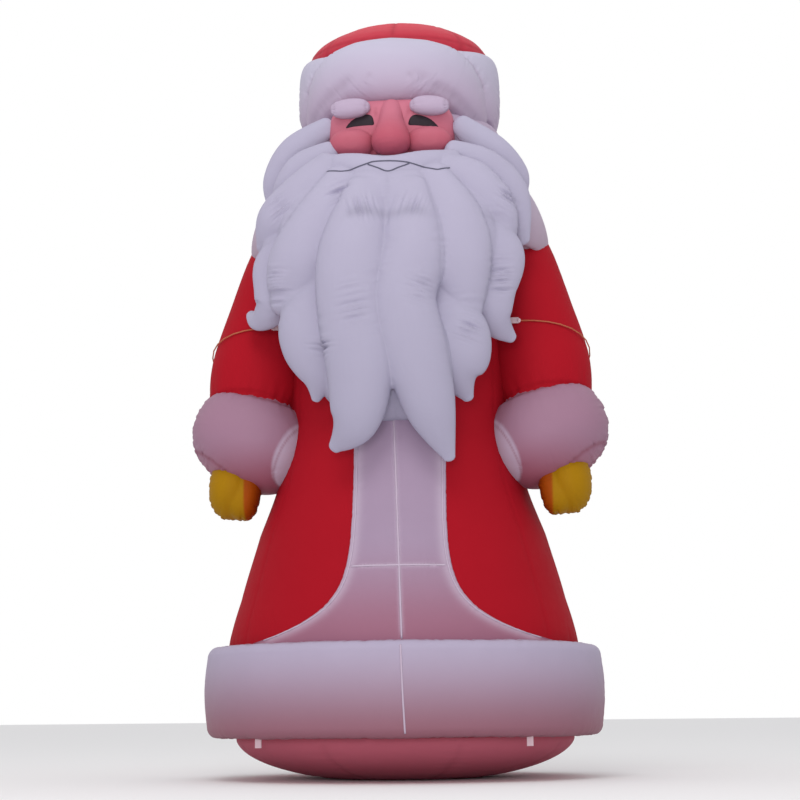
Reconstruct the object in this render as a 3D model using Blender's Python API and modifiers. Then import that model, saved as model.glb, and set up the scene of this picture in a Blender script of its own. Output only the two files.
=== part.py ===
"""A giant inflatable advertising figure: a bearded winter grandfather in a long robe.

The figure faces -Y and stands on the flat underside of its bowl-shaped base, with the origin at
the middle of that underside. Each sewn, air-filled chamber is one solid. The proportions of the
figure are shares of its own height; what is made to a size of its own, such as webbing, rope and
the thickness of the front panel, is named in metres.
"""

import math

import bmesh
import bpy
from mathutils import Matrix, Vector

# Driving dimensions, in metres
FIGURE_HEIGHT = 8.0
CHAMBER_GAP = 0.001
PANEL_THICKNESS = 0.07
ROPE_DIAMETER = 0.014
ROPE_GAP = 0.016
KNOT_DIAMETER = 0.05
WEBBING_WIDTH = 0.06
WEBBING_THICKNESS = 0.012
ANCHOR_LENGTH = 0.11
TIE_DOWN_LENGTH = 0.09
JOIN_GAP = 0.0004
BEARD_VOXEL = 0.045

# How finely the round forms are faceted
ROBE_SIDES = 28
HEAD_SIDES = 28
COLLAR_SIDES = 24
BASE_STEPS = 6
ROLL_STEPS = 8
PANEL_STEPS = 14
SLEEVE_STEPS = 7
LOCK_STEPS = 14
ROPE_POINTS = 16
BEARD_KEPT = 0.041
FLAT_ANGLE = math.radians(0.6)

# Shares of the figure's height, in percent, for what several pieces follow
GAP_SHARE = 100 * CHAMBER_GAP / FIGURE_HEIGHT
BASE_TOP = 5.2
BASE_RADIUS = 21.2
BASE_FOOT_RADIUS = 8.0
BASE_FULLNESS = 1.3
ROBE_FOOT_WIDTH = 22.0
ROBE_FOOT_DEPTH = 20.4
HEM_BOTTOM = 5.0
HEM_TOP = 16.2
HEM_DEPTH = 2.7
HEM_CORNER = 1.5
HEM_BULGE = 0.3
HEM_SQUARENESS = 2.1
TAB_INSET = 1.5
NECK = 74.0
COLLAR_HALF_WIDTH = 16.4
COLLAR_HALF_DEPTH = 13.6
COLLAR_SQUARENESS = 2.2
COLLAR_CENTRE = 71.4
COLLAR_HALF_HEIGHT = 5.6
COLLAR_THICKNESS = 2.5
COLLAR_LEAN = 2.0
CROWN_BOTTOM = 86.5
TRIM_BOTTOM = 84.4
TRIM_TOP = 94.2
TRIM_DEPTH = 1.4
TRIM_FRONT = 1.9
TRIM_DIP = 0.8
TRIM_SQUARENESS = 2.7
HEAD_HALF_WIDTH = 12.2
HEAD_HALF_DEPTH = 10.4
HEAD_SQUARENESS = 2.15
HEAD_BACK = 0.8
PANEL_HALF_WIDTH = 5.5
PANEL_FLARE = 12.5
PANEL_FLARE_HEIGHT = 3.0
PANEL_CENTRE = 1.0
PANEL_TOP = 50.0

# Colours of the cloths
RED = (0.39, 0.012, 0.02, 1.0)
HAT_RED = (0.60, 0.05, 0.08, 1.0)
DARK_RED = (0.22, 0.06, 0.08, 1.0)
WHITE = (0.62, 0.60, 0.74, 1.0)
CUFF_WHITE = (0.40, 0.24, 0.34, 1.0)
PINK = (0.52, 0.16, 0.22, 1.0)
MUSTARD = (0.42, 0.22, 0.02, 1.0)
ROPE_ORANGE = (0.60, 0.20, 0.10, 1.0)

# Upright sections of the body: height, half width, half depth, squareness, all but the last in percent
ROBE_SECTIONS = (
    (BASE_TOP, ROBE_FOOT_WIDTH, ROBE_FOOT_DEPTH, HEM_SQUARENESS),
    (HEM_TOP, ROBE_FOOT_WIDTH, ROBE_FOOT_DEPTH, HEM_SQUARENESS),
    (22.0, 20.5, 19.4, 2.1),
    (30.0, 18.2, 17.9, 2.1),
    (36.0, 16.0, 16.6, 2.1),
    (44.0, 14.8, 15.4, 2.1),
    (56.0, 14.6, 14.4, 2.2),
    (66.0, 15.0, 13.4, 2.3),
    (71.5, 13.6, 12.0, 2.3),
    (NECK, 10.6, 9.6, 2.2),
)
HEAD_SECTIONS = (
    (NECK + GAP_SHARE, 9.6, 8.6, 2.2),
    (75.5, 11.6, 10.0, 2.3),
    (78.5, 13.4, 11.3, 2.4),
    (TRIM_BOTTOM - 1, 13.4, 11.4, 2.3),
    (TRIM_BOTTOM - 0.2, HEAD_HALF_WIDTH, HEAD_HALF_DEPTH, HEAD_SQUARENESS),
    (CROWN_BOTTOM, HEAD_HALF_WIDTH, HEAD_HALF_DEPTH, HEAD_SQUARENESS),
)
CROWN_SECTIONS = (
    (CROWN_BOTTOM + GAP_SHARE, HEAD_HALF_WIDTH, HEAD_HALF_DEPTH, HEAD_SQUARENESS),
    (TRIM_TOP, HEAD_HALF_WIDTH, HEAD_HALF_DEPTH, HEAD_SQUARENESS),
    (95.0, 11.9, 9.8, 2.1),
    (96.4, 10.6, 8.2, 2.1),
    (98.2, 7.6, 5.6, 2.0),
    (99.4, 4.0, 2.9, 2.0),
    (100.0, 1.0, 0.8, 2.0),
)

# The arms, for the figure's own left side: centreline points and the radius there, in percent
SLEEVE_LINE = (
    ((12.6, -0.4, 69.2), 5.5),
    ((14.2, -1.0, 64.8), 6.2),
    ((15.9, -2.0, 58.0), 6.6),
    ((18.0, -3.2, 51.0), 6.5),
    ((18.8, -4.2, 46.0), 5.7),
)
CUFF_CENTRE = (18.7, -5.0, 42.2)
CUFF_HALF = (7.8, 7.4, 6.2)
CUFF_SQUARENESS = 2.2
CUFF_TILT = (-12.0, -24.0)
MITTEN_CENTRE = (21.1, -5.6, 36.5)
MITTEN_HALF = (3.0, 3.7, 4.5)
THUMB_CENTRE = (18.9, -6.8, 36.7)
THUMB_HALF = (1.5, 1.9, 2.9)
HAND_SQUARENESS = 2.0
HAND_TILT = (-4.0, -10.0)

# The ropes: how far down the sleeve they start and end, and round it, outward being 0 degrees
ROPE_ALONG = (0.60, 0.78)
ROPE_TURN = (-98, 100)

# The inflated forms of the head, in percent: centre, half sizes and squareness
FACE = ((0.0, -10.6, 80.4), (8.0, 2.9, 4.4), 3.4)
CHEEK = ((4.9, -13.0, 78.5), (2.9, 2.2, 1.9), 2.3)
NOSE_BRIDGE = ((0.1, -13.6, 82.2), (1.75, 1.5, 2.9), 2.6)
NOSE_TIP = ((0.2, -15.0, 78.3), (2.55, 2.4, 2.0), 2.2)
BROW = ((5.0, -13.7, 83.1), (2.5, 1.1, 1.25), 2.3)
BROW_TILT = 4.0
BEARD_CUSHIONS = (
    ((-0.4, -14.6, 63.0), (13.8, 3.9, 11.6), 2.6),
    ((0.0, -15.2, 70.2), (6.4, 3.6, 5.0), 2.4),
    ((0.0, -16.2, 51.0), (9.4, 3.6, 8.6), 2.4),
    ((0.0, -11.6, 73.6), (12.8, 4.4, 3.6), 2.4),
)

# Beard locks, in percent: a centreline of (sideways, height, radius) points, and how far the lock
# stands forward of the beard's own curve
LOCKS = (
    (((-2.6, 71.0, 2.4), (-4.1, 63.0, 4.1), (-4.3, 55.5, 4.0), (-3.2, 48.0, 3.8), (-3.9, 41.8, 2.8),
      (-6.4, 38.9, 0.8)), 0.4),
    (((2.6, 71.0, 2.4), (3.2, 63.0, 3.8), (2.0, 56.5, 3.8), (3.4, 50.0, 3.8), (5.2, 42.8, 2.8),
      (7.2, 37.4, 0.7)), 0.3),
    (((-6.0, 73.0, 1.8), (-8.8, 67.6, 3.0), (-11.2, 62.0, 3.7), (-12.5, 57.4, 2.4)), 0.0),
    (((5.8, 73.0, 1.8), (8.2, 67.0, 3.3), (8.8, 61.5, 3.7), (9.2, 55.6, 2.2)), 0.0),
    (((-7.6, 75.4, 1.6), (-11.2, 71.8, 2.5), (-14.2, 68.4, 2.8), (-16.0, 65.6, 1.3)), -0.4),
    (((-8.2, 81.6, 1.3), (-12.4, 78.8, 2.2), (-14.7, 75.4, 2.1), (-15.3, 72.4, 1.2)), -3.6),
    (((-7.6, 77.4, 1.4), (-11.0, 75.8, 2.0), (-13.0, 73.4, 2.0), (-14.2, 71.4, 1.2)), -1.8),
    (((-13.4, 66.2, 1.8), (-14.9, 63.0, 2.3), (-14.8, 59.8, 2.3), (-14.8, 57.6, 2.2), (-16.8, 56.5, 1.5),
      (-18.2, 57.4, 0.6)), -0.5),
    (((-8.4, 59.6, 1.8), (-10.0, 55.6, 3.2), (-9.7, 51.6, 3.2), (-8.6, 47.6, 1.9), (-8.9, 45.2, 0.6)), -0.4),
    (((6.6, 57.6, 1.8), (8.5, 53.6, 3.1), (8.9, 50.0, 3.2), (8.5, 47.2, 2.1), (9.4, 44.9, 0.7)), -0.4),
    (((12.4, 67.0, 1.9), (13.5, 63.0, 2.9), (12.5, 58.4, 2.7), (12.8, 54.8, 2.0), (14.7, 52.8, 0.7)), -0.6),
    (((8.8, 81.2, 1.3), (12.6, 77.8, 2.2), (15.2, 75.0, 2.0), (16.1, 73.0, 1.1)), -3.4),
    (((7.8, 76.8, 1.4), (12.0, 75.0, 2.1), (14.8, 71.4, 2.4), (16.0, 66.0, 1.2)), -1.4),
    (((7.4, 74.6, 1.5), (10.8, 72.4, 2.3), (13.2, 69.0, 2.4), (14.3, 65.8, 1.4)), 0.0),
    (((-8.2, 75.6, 1.0), (-4.2, 74.8, 1.3), (0.0, 74.3, 1.2), (4.2, 74.8, 1.3), (8.2, 75.6, 1.0)), 0.0),
)
BEARD_FORWARD = 16.6
BEARD_LEAN = 0.075
BEARD_CURVE = 0.021
LEAST_LOCK_RADIUS = 0.25


def metres(share):
    """A length in metres from a share of the figure's height in percent."""
    return share * FIGURE_HEIGHT / 100


def place(point):
    """A point in metres from shares of the figure's height."""
    return Vector(point) * FIGURE_HEIGHT / 100


def clear_scene():
    for obj in list(bpy.data.objects):
        bpy.data.objects.remove(obj, do_unlink=True)


def new_collection(name, shown=True):
    collection = bpy.data.collections.new(name)
    bpy.context.scene.collection.children.link(collection)
    collection.hide_render = not shown
    return collection


def cloth(name, colour, roughness=0.45):
    """A plain coated cloth."""
    material = bpy.data.materials.new(name)
    material.use_nodes = True
    shader = material.node_tree.nodes["Principled BSDF"]
    shader.inputs["Base Color"].default_value = colour
    shader.inputs["Roughness"].default_value = roughness
    shader.inputs["Metallic"].default_value = 0.0
    material.diffuse_color = colour
    return material


def add_object(name, mesh, material):
    """A named piece in the figure's collection, from a mesh."""
    mesh.name = name
    mesh.materials.clear()
    mesh.materials.append(material)
    mesh.shade_smooth()
    mesh.set_sharp_from_angle(angle=math.radians(40))
    piece = bpy.data.objects.new(name, mesh)
    figure.objects.link(piece)
    return piece


def mesh_from(bm):
    """A mesh of triangles that face outward, so that a grown copy has the same creases."""
    bmesh.ops.triangulate(bm, faces=bm.faces)
    bmesh.ops.recalc_face_normals(bm, faces=bm.faces)
    mesh = bpy.data.meshes.new("shape")
    bm.to_mesh(mesh)
    bm.free()
    return mesh


def superellipse(angle, half_width, half_depth, squareness):
    """A point of a superellipse: an ellipse at squareness 2, and squarer above it."""
    power = 2 / squareness
    across, along = math.cos(angle), math.sin(angle)
    return (
        half_width * math.copysign(abs(across) ** power, across),
        half_depth * math.copysign(abs(along) ** power, along),
    )


def smooth_between(points, at):
    """The value at a place along a smooth curve through points, each a tuple of numbers."""
    last = len(points) - 1
    index = min(int(at), last - 1)
    t = at - index
    before, start, end, after = (points[max(0, min(last, index + k))] for k in (-1, 0, 1, 2))
    return tuple(
        0.5 * (2 * b + (c - a) * t + (2 * a - 5 * b + 4 * c - d) * t * t + (3 * b - a - 3 * c + d) * t ** 3)
        for a, b, c, d in zip(before, start, end, after)
    )


def loft(sections, sides, back=0.0, outward=0.0):
    """A closed solid through upright superelliptic sections, moved back and grown outward in metres."""
    bm = bmesh.new()
    loops = []
    for height, half_width, half_depth, squareness in sections:
        loop = []
        for side in range(sides):
            x, y = superellipse(
                2 * math.pi * side / sides,
                metres(half_width) + outward,
                metres(half_depth) + outward,
                squareness,
            )
            loop.append(bm.verts.new((x, y + metres(back), metres(height))))
        loops.append(loop)
    for lower, upper in zip(loops, loops[1:]):
        for side in range(sides):
            after = (side + 1) % sides
            bm.faces.new((lower[side], lower[after], upper[after], upper[side]))
    bm.faces.new(reversed(loops[0]))
    bm.faces.new(loops[-1])
    return mesh_from(bm)


def ring_round(path, section, sides):
    """A closed ring: a section of (outward, height) points in metres, carried round a level path.

    path gives, for an angle, the point in metres and a factor for how far the section stands out.
    """
    bm = bmesh.new()
    loops = []
    for side in range(sides):
        angle = 2 * math.pi * side / sides
        (x, y), thick = path(angle)
        (x2, y2), _ = path(angle + 0.01)
        (x1, y1), _ = path(angle - 0.01)
        normal = Vector((y2 - y1, x1 - x2, 0)).normalized()
        loop = []
        for outward, height in section:
            point = Vector((x, y, height)) + normal * outward * (thick if outward > 0 else 1)
            loop.append(bm.verts.new(point))
        loops.append(loop)
    for index, loop in enumerate(loops):
        following = loops[(index + 1) % sides]
        for k in range(len(section)):
            after = (k + 1) % len(section)
            bm.faces.new((loop[k], loop[after], following[after], following[k]))
    return mesh_from(bm)


def rounded_section(outer, bottom, top):
    """The hem band's section in metres, whose outer face bulges and whose outer corners are round."""
    corner, bulge = metres(HEM_CORNER), metres(HEM_BULGE)
    points = [(0, bottom), (outer - corner, bottom)]
    steps = 2
    for step in range(1, steps + 1):
        turn = math.pi / 2 * step / steps
        points.append((outer - corner + corner * math.sin(turn), bottom + corner * (1 - math.cos(turn))))
    points.append((outer + bulge, (bottom + top) / 2))
    for step in range(steps + 1):
        turn = math.pi / 2 * step / steps
        points.append((outer - corner + corner * math.cos(turn), top - corner + corner * math.sin(turn)))
    return points + [(0, top)]


def pillow(centre, half, squareness=2.0, tilt=(0.0, 0.0), segments=20, rings=12):
    """An inflated closed form: a sphere drawn out to half sizes and squared, then tilted about X and Y."""
    bm = bmesh.new()
    bmesh.ops.create_uvsphere(bm, u_segments=segments, v_segments=rings, radius=1)
    power = 2 / squareness
    for vert in bm.verts:
        vert.co = [math.copysign(abs(value) ** power, value) for value in vert.co]
    turn = Matrix.Rotation(math.radians(tilt[1]), 4, "Y") @ Matrix.Rotation(math.radians(tilt[0]), 4, "X")
    size = Matrix.Diagonal((*place(half), 1))
    bm.transform(Matrix.Translation(place(centre)) @ turn @ size)
    return mesh_from(bm)


def tube(points, radii, sides_quarter=2):
    """A closed tube along points in metres, with a radius at each: a bevelled curve made a mesh."""
    curve = bpy.data.curves.new("tube", "CURVE")
    curve.dimensions = "3D"
    curve.bevel_depth = 1.0
    curve.bevel_resolution = sides_quarter
    curve.use_fill_caps = True
    spline = curve.splines.new("POLY")
    spline.points.add(len(points) - 1)
    for spot, point, radius in zip(spline.points, points, radii):
        spot.co = (*point, 1)
        spot.radius = radius
    guide = bpy.data.objects.new("tube", curve)
    cutters.objects.link(guide)
    graph = bpy.context.evaluated_depsgraph_get()
    mesh = bpy.data.meshes.new_from_object(guide.evaluated_get(graph))
    bpy.data.objects.remove(guide)
    bpy.data.curves.remove(curve)
    bm = bmesh.new()
    bm.from_mesh(mesh)
    bpy.data.meshes.remove(mesh)
    bmesh.ops.remove_doubles(bm, verts=bm.verts, dist=0.00005)
    return mesh_from(bm)


def mirrored(mesh):
    """A copy of a mesh for the other side of the figure."""
    bm = bmesh.new()
    bm.from_mesh(mesh)
    bm.transform(Matrix.Diagonal((-1, 1, 1, 1)))
    return mesh_from(bm)


def apply_modifiers(piece):
    """Makes what the modifiers give the piece's own mesh."""
    graph = bpy.context.evaluated_depsgraph_get()
    mesh = bpy.data.meshes.new_from_object(piece.evaluated_get(graph))
    old = piece.data
    piece.modifiers.clear()
    piece.data = mesh
    mesh.name = piece.name
    bpy.data.meshes.remove(old)


def boolean(piece, other_mesh, operation):
    """Cuts or joins a piece with a mesh, which is then removed."""
    cutter = bpy.data.objects.new("cutter", other_mesh)
    cutter.hide_render = True
    cutter.display_type = "WIRE"
    cutters.objects.link(cutter)
    modifier = piece.modifiers.new(operation.lower(), "BOOLEAN")
    modifier.operation = operation
    modifier.object = cutter
    modifier.solver = "EXACT"
    apply_modifiers(piece)
    bpy.data.objects.remove(cutter)
    bpy.data.meshes.remove(other_mesh)


def grown(piece, distance):
    """A copy of a piece's mesh with its surface moved outward."""
    bm = bmesh.new()
    bm.from_mesh(piece.data)
    bm.normal_update()
    moves = [(vert, vert.normal * distance) for vert in bm.verts]
    for vert, move in moves:
        vert.co += move
    return mesh_from(bm)


def keep_largest(piece):
    """Removes the small loose shells that a cut leaves, and joins its flat slivers into whole faces."""
    bm = bmesh.new()
    bm.from_mesh(piece.data)
    bm.verts.ensure_lookup_table()
    unseen = set(bm.verts)
    shells = []
    while unseen:
        shell = {unseen.pop()}
        front = list(shell)
        while front:
            vert = front.pop()
            for edge in vert.link_edges:
                other = edge.other_vert(vert)
                if other in unseen:
                    unseen.discard(other)
                    shell.add(other)
                    front.append(other)
        shells.append(shell)
    shells.sort(key=len)
    bmesh.ops.delete(bm, geom=[vert for shell in shells[:-1] for vert in shell], context="VERTS")
    bmesh.ops.dissolve_limit(bm, angle_limit=FLAT_ANGLE, verts=bm.verts, edges=bm.edges)
    bmesh.ops.triangulate(bm, faces=bm.faces)
    bm.to_mesh(piece.data)
    bm.free()


def clear_of(piece, *neighbours):
    """Cuts a piece back to a small gap from each of its neighbours."""
    for neighbour in neighbours:
        boolean(piece, grown(neighbour, CHAMBER_GAP), "DIFFERENCE")
    keep_largest(piece)
    return piece


def build_base():
    """The bowl that the figure stands on, with a flat underside."""
    sections = []
    for step in range(BASE_STEPS + 1):
        turn = math.pi / 2 * step / BASE_STEPS
        radius = BASE_FOOT_RADIUS + (BASE_RADIUS - BASE_FOOT_RADIUS) * math.sin(turn) ** BASE_FULLNESS
        height = (BASE_TOP - GAP_SHARE) * (1 - math.cos(turn))
        sections.append((height, radius, radius * ROBE_FOOT_DEPTH / ROBE_FOOT_WIDTH, 2.0))
    return add_object("base", loft(sections, ROBE_SIDES), cloth("base_cloth", DARK_RED))


def build_robe():
    return add_object("robe", loft(ROBE_SECTIONS, ROBE_SIDES), cloth("robe_cloth", RED))


def build_hem_band():
    """The puffed band round the robe's foot, which it meets all round."""
    def path(angle):
        half_width = metres(ROBE_FOOT_WIDTH) + CHAMBER_GAP
        half_depth = metres(ROBE_FOOT_DEPTH) + CHAMBER_GAP
        return superellipse(angle, half_width, half_depth, HEM_SQUARENESS), 1.0

    section = rounded_section(metres(HEM_DEPTH), metres(HEM_BOTTOM), metres(HEM_TOP))
    return add_object("hem_band", ring_round(path, section, ROBE_SIDES), cloth("hem_cloth", WHITE))


def build_collar(robe, head):
    """The puffed collar round the neck, which leans inward as it rises."""
    def path(angle):
        half_width, half_depth = metres(COLLAR_HALF_WIDTH), metres(COLLAR_HALF_DEPTH)
        return superellipse(angle, half_width, half_depth, COLLAR_SQUARENESS), 1.0

    section = []
    for step in range(ROLL_STEPS):
        turn = 2 * math.pi * step / ROLL_STEPS
        rise = math.sin(turn)
        outward = COLLAR_THICKNESS * math.cos(turn) - COLLAR_LEAN * rise
        section.append((metres(outward), metres(COLLAR_CENTRE + COLLAR_HALF_HEIGHT * rise)))
    collar = add_object("collar", ring_round(path, section, COLLAR_SIDES), cloth("collar_cloth", WHITE))
    return clear_of(collar, robe, head)


def panel_half_width(height):
    """Half the width of the front panel at a height, flaring out just above the hem band."""
    rise = max(height - HEM_TOP, 0) / PANEL_FLARE_HEIGHT
    return PANEL_HALF_WIDTH + PANEL_FLARE * math.exp(-rise)


def build_front_panel(robe, hem_band):
    """The strip down the front: the robe's own surface, thickened within the panel's outline."""
    low = HEM_BOTTOM + (HEM_TOP - HEM_BOTTOM) * 0.8
    heights = [low + (PANEL_TOP - low) * (step / PANEL_STEPS) ** 1.8 for step in range(PANEL_STEPS + 1)]
    right = [(PANEL_CENTRE + panel_half_width(height), height) for height in heights]
    left = [(PANEL_CENTRE - panel_half_width(height), height) for height in reversed(heights)]
    bm = bmesh.new()
    near = [bm.verts.new(place((x, -30, z))) for x, z in right + left]
    outline = bm.faces.new(near)
    pushed = bmesh.ops.extrude_face_region(bm, geom=[outline])
    moved = [item for item in pushed["geom"] if isinstance(item, bmesh.types.BMVert)]
    bmesh.ops.translate(bm, verts=moved, vec=place((0, 28, 0)))
    panel = add_object("front_panel", mesh_from(bm), cloth("panel_cloth", WHITE))
    boolean(panel, loft(ROBE_SECTIONS, ROBE_SIDES, outward=PANEL_THICKNESS), "INTERSECT")
    return clear_of(panel, robe, hem_band)


def arm_points(count):
    """Points and radii down the figure's left sleeve, in metres."""
    flat = [(*point, radius) for point, radius in SLEEVE_LINE]
    found = [smooth_between(flat, step * (len(flat) - 1) / (count - 1)) for step in range(count)]
    return [place(values[:3]) for values in found], [metres(values[3]) for values in found]


def build_arms(robe, collar):
    """Both sleeves, cuffs and mittens, listed by side."""
    red, white, mustard = (
        cloth("sleeve_cloth", RED),
        cloth("cuff_cloth", CUFF_WHITE),
        cloth("mitten_cloth", MUSTARD),
    )
    points, radii = arm_points(SLEEVE_STEPS)
    sleeve_mesh = tube(points, radii, 4)
    cuff_mesh = pillow(CUFF_CENTRE, CUFF_HALF, CUFF_SQUARENESS, CUFF_TILT, 18, 10)
    mitten_mesh = pillow(MITTEN_CENTRE, MITTEN_HALF, HAND_SQUARENESS, HAND_TILT, 14, 8)
    arms = {}
    for side, turned in (("left", False), ("right", True)):
        shapes = [mirrored(mesh) if turned else mesh.copy() for mesh in (sleeve_mesh, cuff_mesh, mitten_mesh)]
        cuff = clear_of(add_object("cuff_" + side, shapes[1], white), robe)
        sleeve = clear_of(add_object("sleeve_" + side, shapes[0], red), robe, collar, cuff)
        mitten = add_object("mitten_" + side, shapes[2], mustard)
        thumb = pillow(THUMB_CENTRE, THUMB_HALF, HAND_SQUARENESS, HAND_TILT, 12, 6)
        boolean(mitten, mirrored(thumb) if turned else thumb, "UNION")
        clear_of(mitten, cuff, robe)
        arms[side] = (sleeve, cuff, mitten)
    return arms


def build_head():
    mesh = loft(HEAD_SECTIONS, HEAD_SIDES, back=HEAD_BACK)
    return add_object("head", mesh, cloth("head_cloth", WHITE))


def build_hat():
    """The hat's dome, and the roll round it that is puffed in front and dips to the sides."""
    mesh = loft(CROWN_SECTIONS, HEAD_SIDES, back=HEAD_BACK)
    add_object("hat_crown", mesh, cloth("hat_cloth", HAT_RED))
    half_width, half_depth = metres(HEAD_HALF_WIDTH) + CHAMBER_GAP, metres(HEAD_HALF_DEPTH) + CHAMBER_GAP
    middle, half_height = metres(TRIM_TOP + TRIM_BOTTOM) / 2, metres(TRIM_TOP - TRIM_BOTTOM) / 2

    def path(angle):
        x, y = superellipse(angle, half_width, half_depth, HEAD_SQUARENESS)
        front = max(0.0, -math.sin(angle))
        return (x, y + metres(HEAD_BACK)), 1.0 + TRIM_FRONT * front ** 2

    section = []
    for step in range(ROLL_STEPS + 1):
        turn = math.pi * (step / ROLL_STEPS - 0.5)
        outward, rise = superellipse(turn, metres(TRIM_DEPTH), half_height, TRIM_SQUARENESS)
        section.append((outward, middle + rise))
    mesh = ring_round(path, section, HEAD_SIDES)
    for vert in mesh.vertices:
        rise = max(0.0, vert.co.z - middle) / half_height
        vert.co.z -= metres(TRIM_DIP) * rise * (vert.co.x / half_width) ** 2
    return add_object("hat_trim", mesh, cloth("trim_cloth", WHITE))


def build_face(head, trim, collar):
    """The face with its two cheeks, the nose and the brows."""
    skin = cloth("face_cloth", PINK)
    face = add_object("face", pillow(*FACE, segments=16, rings=8), skin)
    cheek = pillow(*CHEEK, segments=12, rings=8)
    boolean(face, mirrored(cheek), "UNION")
    boolean(face, cheek, "UNION")
    clear_of(face, head, trim, collar)
    nose = add_object("nose", pillow(*NOSE_BRIDGE, segments=12, rings=8), skin)
    boolean(nose, pillow(*NOSE_TIP, segments=14, rings=8), "UNION")
    clear_of(nose, face, trim)
    hair = cloth("brow_cloth", WHITE)
    brow = pillow(*BROW, (0, BROW_TILT), 12, 8)
    clear_of(add_object("brow_right", mirrored(brow), hair), face, trim, nose)
    clear_of(add_object("brow_left", brow, hair), face, trim, nose)
    return face, nose


def beard_depth(across, height):
    """How far the middle of the beard lies in front of the figure's axis, in percent."""
    return BEARD_FORWARD + BEARD_LEAN * (NECK - height) - BEARD_CURVE * across * across


def lock_mesh(line, forward):
    """One lock of the beard: a soft tapered roll along its centreline."""
    spans = LOCK_STEPS - 1
    found = [smooth_between(line, step * (len(line) - 1) / spans) for step in range(LOCK_STEPS)]
    points = [place((x, -beard_depth(x, z) - forward, z)) for x, z, _ in found]
    radii = [metres(max(radius, LEAST_LOCK_RADIUS)) for _, _, radius in found]
    return tube(points, radii, 3)


def build_beard(neighbours):
    """The beard: its locks and the cushion behind them, blown up as one chamber."""
    bm = bmesh.new()
    shapes = [lock_mesh(line, forward) for line, forward in LOCKS]
    shapes += [pillow(*cushion) for cushion in BEARD_CUSHIONS]
    for shape in shapes:
        bm.from_mesh(shape)
        bpy.data.meshes.remove(shape)
    beard = add_object("beard", mesh_from(bm), cloth("beard_cloth", WHITE))
    remesh = beard.modifiers.new("blown_up", "REMESH")
    remesh.mode = "VOXEL"
    remesh.voxel_size = BEARD_VOXEL
    smooth = beard.modifiers.new("softened", "SMOOTH")
    smooth.iterations = 4
    smooth.factor = 0.5
    fewer = beard.modifiers.new("fewer_faces", "DECIMATE")
    fewer.ratio = BEARD_KEPT
    apply_modifiers(beard)
    return clear_of(beard, *neighbours)


def sleeve_point(along, turn, away):
    """A point round the left sleeve: turn is 0 outward, -90 in front and 90 behind, in degrees."""
    flat = [(*point, radius) for point, radius in SLEEVE_LINE]
    values = smooth_between(flat, along * (len(flat) - 1))
    ahead = smooth_between(flat, min(along * (len(flat) - 1) + 0.05, len(flat) - 1.001))
    centre = place(values[:3])
    direction = (place(ahead[:3]) - centre).normalized()
    outward = Vector((1, 0, 0))
    outward = (outward - direction * outward.dot(direction)).normalized()
    behind = Vector((0, 1, 0))
    behind = (behind - direction * behind.dot(direction) - outward * behind.dot(outward)).normalized()
    angle = math.radians(turn)
    reach = metres(values[3]) + away
    return centre + outward * reach * math.cos(angle) + behind * reach * math.sin(angle)


def rope_route():
    """The points of the left rope, round the outside of the sleeve from its front to its back."""
    route = []
    away = ROPE_DIAMETER / 2 + ROPE_GAP
    for step in range(ROPE_POINTS):
        share = step / (ROPE_POINTS - 1)
        along = ROPE_ALONG[0] + (ROPE_ALONG[1] - ROPE_ALONG[0]) * math.sin(share * math.pi / 2)
        turn = ROPE_TURN[0] + (ROPE_TURN[1] - ROPE_TURN[0]) * share
        route.append(sleeve_point(along, turn, away))
    return route


def box(centre, size, turn=0.0):
    """A flat strip of webbing."""
    bm = bmesh.new()
    bmesh.ops.create_cube(bm, size=1)
    bmesh.ops.scale(bm, vec=size, verts=bm.verts)
    bm.transform(Matrix.Translation(centre) @ Matrix.Rotation(turn, 4, "Z"))
    return mesh_from(bm)


def build_ropes(robe, arms):
    """The thin ropes across the sleeves, and the knotted webbing tabs that hold their ends."""
    rope_cloth, webbing = cloth("rope", ROPE_ORANGE, 0.7), cloth("webbing", WHITE, 0.6)
    route = rope_route()
    for side, turned in (("left", False), ("right", True)):
        flip = Vector((-1, 1, 1)) if turned else Vector((1, 1, 1))
        points = [point * flip for point in route]
        rope = add_object("tie_cord_" + side, tube(points, [ROPE_DIAMETER / 2] * len(points), 2), rope_cloth)
        sleeve = arms[side][0]
        clear_of(rope, sleeve)
        for end, spot, after in (("front", points[0], points[1]), ("back", points[-1], points[-2])):
            away = (spot - after).normalized()
            reach = KNOT_DIAMETER / 2 + JOIN_GAP
            knot_centre = spot + away * reach
            knot = bmesh.new()
            bmesh.ops.create_uvsphere(knot, u_segments=6, v_segments=4, radius=KNOT_DIAMETER / 2)
            knot.transform(Matrix.Translation(knot_centre))
            anchor = add_object(f"cord_anchor_{end}_{side}", mesh_from(knot), webbing)
            turn = math.atan2(away.y, away.x)
            strip_centre = knot_centre + away * (ANCHOR_LENGTH / 2)
            size = (ANCHOR_LENGTH, WEBBING_THICKNESS, WEBBING_WIDTH)
            boolean(anchor, box(strip_centre, size, turn), "UNION")
            clear_of(anchor, sleeve, rope, robe)


def build_hem_tabs(hem_band):
    """Small webbing tabs under the hem band, where the figure is tied to the ground."""
    webbing = cloth("tab_webbing", WHITE, 0.6)
    half_width = metres(ROBE_FOOT_WIDTH + HEM_DEPTH - TAB_INSET)
    half_depth = metres(ROBE_FOOT_DEPTH + HEM_DEPTH - TAB_INSET)
    for end, angle in (("front", -48), ("back", 48)):
        x, y = superellipse(math.radians(angle), half_width, half_depth, HEM_SQUARENESS)
        for side, sign in (("left", 1), ("right", -1)):
            centre = (x * sign, y, metres(HEM_BOTTOM) - TIE_DOWN_LENGTH / 2 + WEBBING_THICKNESS)
            size = (WEBBING_WIDTH, WEBBING_THICKNESS, TIE_DOWN_LENGTH)
            tab = add_object(f"hem_tab_{end}_{side}", box(centre, size), webbing)
            clear_of(tab, hem_band)


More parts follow.
